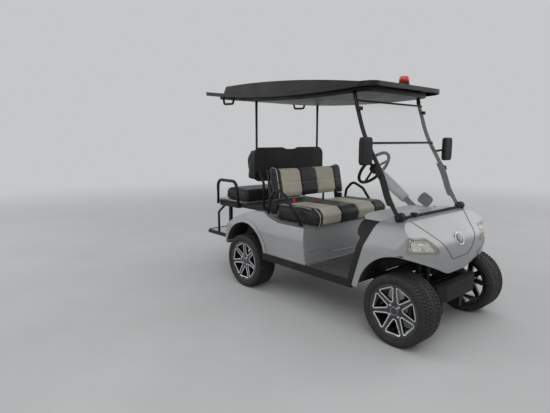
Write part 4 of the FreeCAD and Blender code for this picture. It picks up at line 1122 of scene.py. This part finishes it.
print("rear pieces made")

# side creases: low beads of paint along the body's line
creases = []
for start, end, z in ((0.30, 0.80, 0.505), (0.36, 0.815, 0.41)):
    x = rearAxle + np.linspace(start, end, 40)
    line = castOn(nodes["rear_body"].data, np.stack(np.broadcast_arrays(x, -0.7, z), -1), (0, 1, 0))
    creases += bothSides(tubeMesh("crease", line, 0.0034, 8))
# on the kick panel, in y and z of the frame in millimetres
for outline in ([(-603, 509), (-341, 503), (-276, 457), (-158, 446), (60, 444)],
                [(-598, 410), (-156, 391), (66, 404)]):
    p = np.array(outline, float) / 1000
    t = np.linspace(0, len(p) - 1, 60)
    y, z = (np.interp(t, range(len(p)), p[:, k]) for k in (0, 1))
    line = castOn(nodes["kick_panel"].data, np.stack([np.full(60, rearAxle + 1.1), y, z], -1), (-1, 0, 0))
    if len(line) > 3:
        creases.append(tubeMesh("crease", line, 0.0034, 8))
addPiece("body_creases", creases, "silver_paint")

# beacon: dark base, red dome
low, high = (np.array(v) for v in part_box("beacon"))
foot, height = [*((low + high) / 2)[:2], low[2]], high[2] - low[2]
base = turnedMesh("beacon", [(0.0425, 0), (0.043, 0.012), (0.04, 0.02), (0.0385, 0.034), (0.036, 0.036)],
                  foot, sides=40)
dome = turnedMesh("beacon", [(0.0378, 0.034), (0.0378, height - 0.022), (0.035, height - 0.009),
                             (0.026, height - 0.002), (0.01, height)], foot, sides=40)
addPiece("beacon_set", [(base, 0), (dome, 1)], ["black_plastic", "beacon_red"], hides=["beacon"])

# buckles with short straps in the gap under the front backrest
straps = []
for y, z in ((-0.274, 0.841), (0.049, 0.821)):
    place = np.array([rearAxle + 0.36, y, z])
    straps.append((roundedBox("buckle", place, (0.008, 0.014, 0.022), 0.3, (14, 20)), 0))
    straps.append((roundedBox("strap", place - [0.012, 0, 0.03], (0.01, 0.019, 0.03), 0.25, (14, 20)), 1))
addPiece("belt_buckles", straps, ["buckle_red", "belt_webbing"])

# coil springs round the front legs: a helix whose middle follows the leg's axis
coils, coilRadius = 7, 0.034
legLow, legHigh = fromAxle(frontAxle, 0, 312, -36), fromAxle(frontAxle, 0, 275, 210)
acrossLeg = np.array([1.0, 0, 0])
otherLeg = np.cross(unit(legHigh - legLow), acrossLeg)
t = np.linspace(0, 1, 220)[:, None]
turn = 2 * np.pi * coils * t
helix = legLow + (legHigh - legLow) * t + coilRadius * (np.cos(turn) * acrossLeg + np.sin(turn) * otherLeg)
addPiece("coil_springs", bothSides(tubeMesh("spring", helix, 0.0055, 10)), "spring_steel")

# the steering wheel's hub cap, the column's shroud with a stalk, and the gauge pod
tilt = math.radians(36)
hub = fromAxle(frontAxle, -805, 250, 898)
towards = np.array([-math.cos(tilt), 0, math.sin(tilt)])
cap = turnedMesh("cap", [(0.04, -0.004), (0.042, 0.004), (0.038, 0.012), (0.026, 0.018), (0.004, 0.02)],
                 hub + towards * 0.006, towards, 40)
addPiece("horn_cap", cap, "black_plastic", "steering_wheel")
shroudLine = np.array([hub - towards * d for d in (0.062, 0.1, 0.2, 0.3, 0.42)])
shroud = tubeMesh("shroud", shroudLine, 0.036, 24, False, np.array([0.95, 1.1, 1.2, 1.15, 1.0]), 1.1)
stalkRoot = hub - towards * 0.12
stalkEnd = hub - towards * 0.11 + [0, -0.11, 0.05]
stalk = tubeMesh("stalk", smoothLine([stalkRoot, stalkRoot + [0, -0.06, 0.02], stalkEnd]), 0.006, 10)
addPiece("column_shroud", [(shroud, 0), (stalk, 1)], ["dash_grey", "black_plastic"])
pod = turnedMesh("pod", [(0.04, -0.05), (0.047, -0.03), (0.048, 0.03), (0.044, 0.036), (0.041, 0.03),
                         (0.002, 0.029)],
                 fromAxle(frontAxle, -285, 250, 665), (-0.85, 0, 0.5), 40)
addPiece("gauge_pod", pod, "black_plastic")
print("small pieces made")


# puts a lamp or the camera in its place, looking along a direction
def aim(thing, place, direction):
    thing.location = place
    thing.rotation_mode = "QUATERNION"
    thing.rotation_quaternion = Vector(direction).to_track_quat("-Z", "Y")


camera = {"place": (2.7177, -3.0083, 1.4034), "yaw": 139.121, "pitch": -8.786, "lens": 28.276, "sensor": 36}
yaw, pitch = math.radians(camera["yaw"]), math.radians(camera["pitch"])
cameraData = bpy.data.cameras.new("camera")
cameraData.lens = camera["lens"]
cameraData.sensor_width = camera["sensor"]
cameraObject = addObject("camera", cameraData)
aim(cameraObject, camera["place"],
    (math.cos(pitch) * math.cos(yaw), math.cos(pitch) * math.sin(yaw), math.sin(pitch)))
bpy.context.scene.camera = cameraObject

studio = {
    "floorTone": (0.5, 0.5, 0.5), "floorHalf": 30, "clearFloor": (2.5, 12.0),
    "backdropTone": (0.56, 0.57, 0.58), "skyTone": (0.96, 0.98, 1.0), "ambient": 0.62,
    # lamp: place, target, size, power
    "lamps": {
        "key": ((3.8, -4.2, 4.6), (0.2, 0, 0.7), 3.0, 95),
        "fill": ((-4.5, -4.0, 3.0), (0, 0, 0.8), 4.0, 50),
        "back": ((2.5, 5.5, 3.4), (0, 0, 0.9), 4.0, 60),
        "top": ((0, 0, 6.5), (0, 0, 0), 4.5, 45),
    },
}


# what the camera, gloss and glass see counts as the backdrop: the largest of the three ray flags
def seenRays(tree):
    rays = tree.nodes.new("ShaderNodeLightPath")
    last = rays.outputs["Is Camera Ray"]
    for flag in ("Is Glossy Ray", "Is Transmission Ray"):
        most = tree.nodes.new("ShaderNodeMath")
        most.operation = "MAXIMUM"
        tree.links.new(last, most.inputs[0])
        tree.links.new(rays.outputs[flag], most.inputs[1])
        last = most.outputs["Value"]
    return last


# two shaders mixed by a factor, as the tree's output
def blendShaders(tree, output, *sources):
    blend = tree.nodes.new("ShaderNodeMixShader")
    for number, source in enumerate(sources):
        tree.links.new(source, blend.inputs[number])
    tree.links.new(blend.outputs["Shader"], tree.nodes[output].inputs["Surface"])


# the floor fades into the backdrop's tone away from the cart, so no horizon shows
n = Nodes("pale_floor")
tones = [tuple(tone * share for tone in studio["floorTone"]) for share in (0.94, 1.04)]
n.drift("Base Color", (0.3, tones[0]), (0.7, tones[1]), 0.9, 7, 0.62)
n.socket(Roughness=0.75)
distance = n.add("ShaderNodeVectorMath", operation="LENGTH")
n.link(n.coordinates, distance.inputs[0])
fade = n.add("ShaderNodeMapRange", interpolation_type="SMOOTHSTEP")
fade.inputs["From Min"].default_value, fade.inputs["From Max"].default_value = studio["clearFloor"]
n.link(distance.outputs["Value"], fade.inputs["Value"])
glow = n.add("ShaderNodeEmission", Color=(*studio["backdropTone"], 1))
blendShaders(n.tree, "Material Output", n.math("MULTIPLY", fade.outputs["Result"], seenRays(n.tree)),
             n.shader.outputs["BSDF"], glow.outputs["Emission"])
far = studio["floorHalf"]
floorMesh = bpy.data.meshes.new("floor")
floorMesh.from_pydata([(-far, -far, 0), (far, -far, 0), (far, far, 0), (-far, far, 0)], [], [(0, 1, 2, 3)])
floorPiece = addObject("floor", floorMesh)
floorMesh.materials.append(n.material)

# the world: pale light, and the backdrop's tone where it is seen
world = bpy.data.worlds.new("studio")
bpy.context.scene.world = world
world.use_nodes = True
tree = world.node_tree
sky, shown = tree.nodes["Background"], tree.nodes.new("ShaderNodeBackground")
sky.inputs["Color"].default_value = (*studio["skyTone"], 1)
sky.inputs["Strength"].default_value = studio["ambient"]
shown.inputs["Color"].default_value = (*studio["backdropTone"], 1)
blendShaders(tree, "World Output", seenRays(tree), sky.outputs["Background"], shown.outputs["Background"])

for name, (place, target, size, power) in studio["lamps"].items():
    light = bpy.data.lights.new(name, "AREA")
    light.size = size
    light.energy = power
    aim(addObject(name, light), place, Vector(target) - Vector(place))
print("camera, floor and light set")

bpy.context.scene.view_settings.view_transform = "Standard"
bpy.context.view_layer.update()
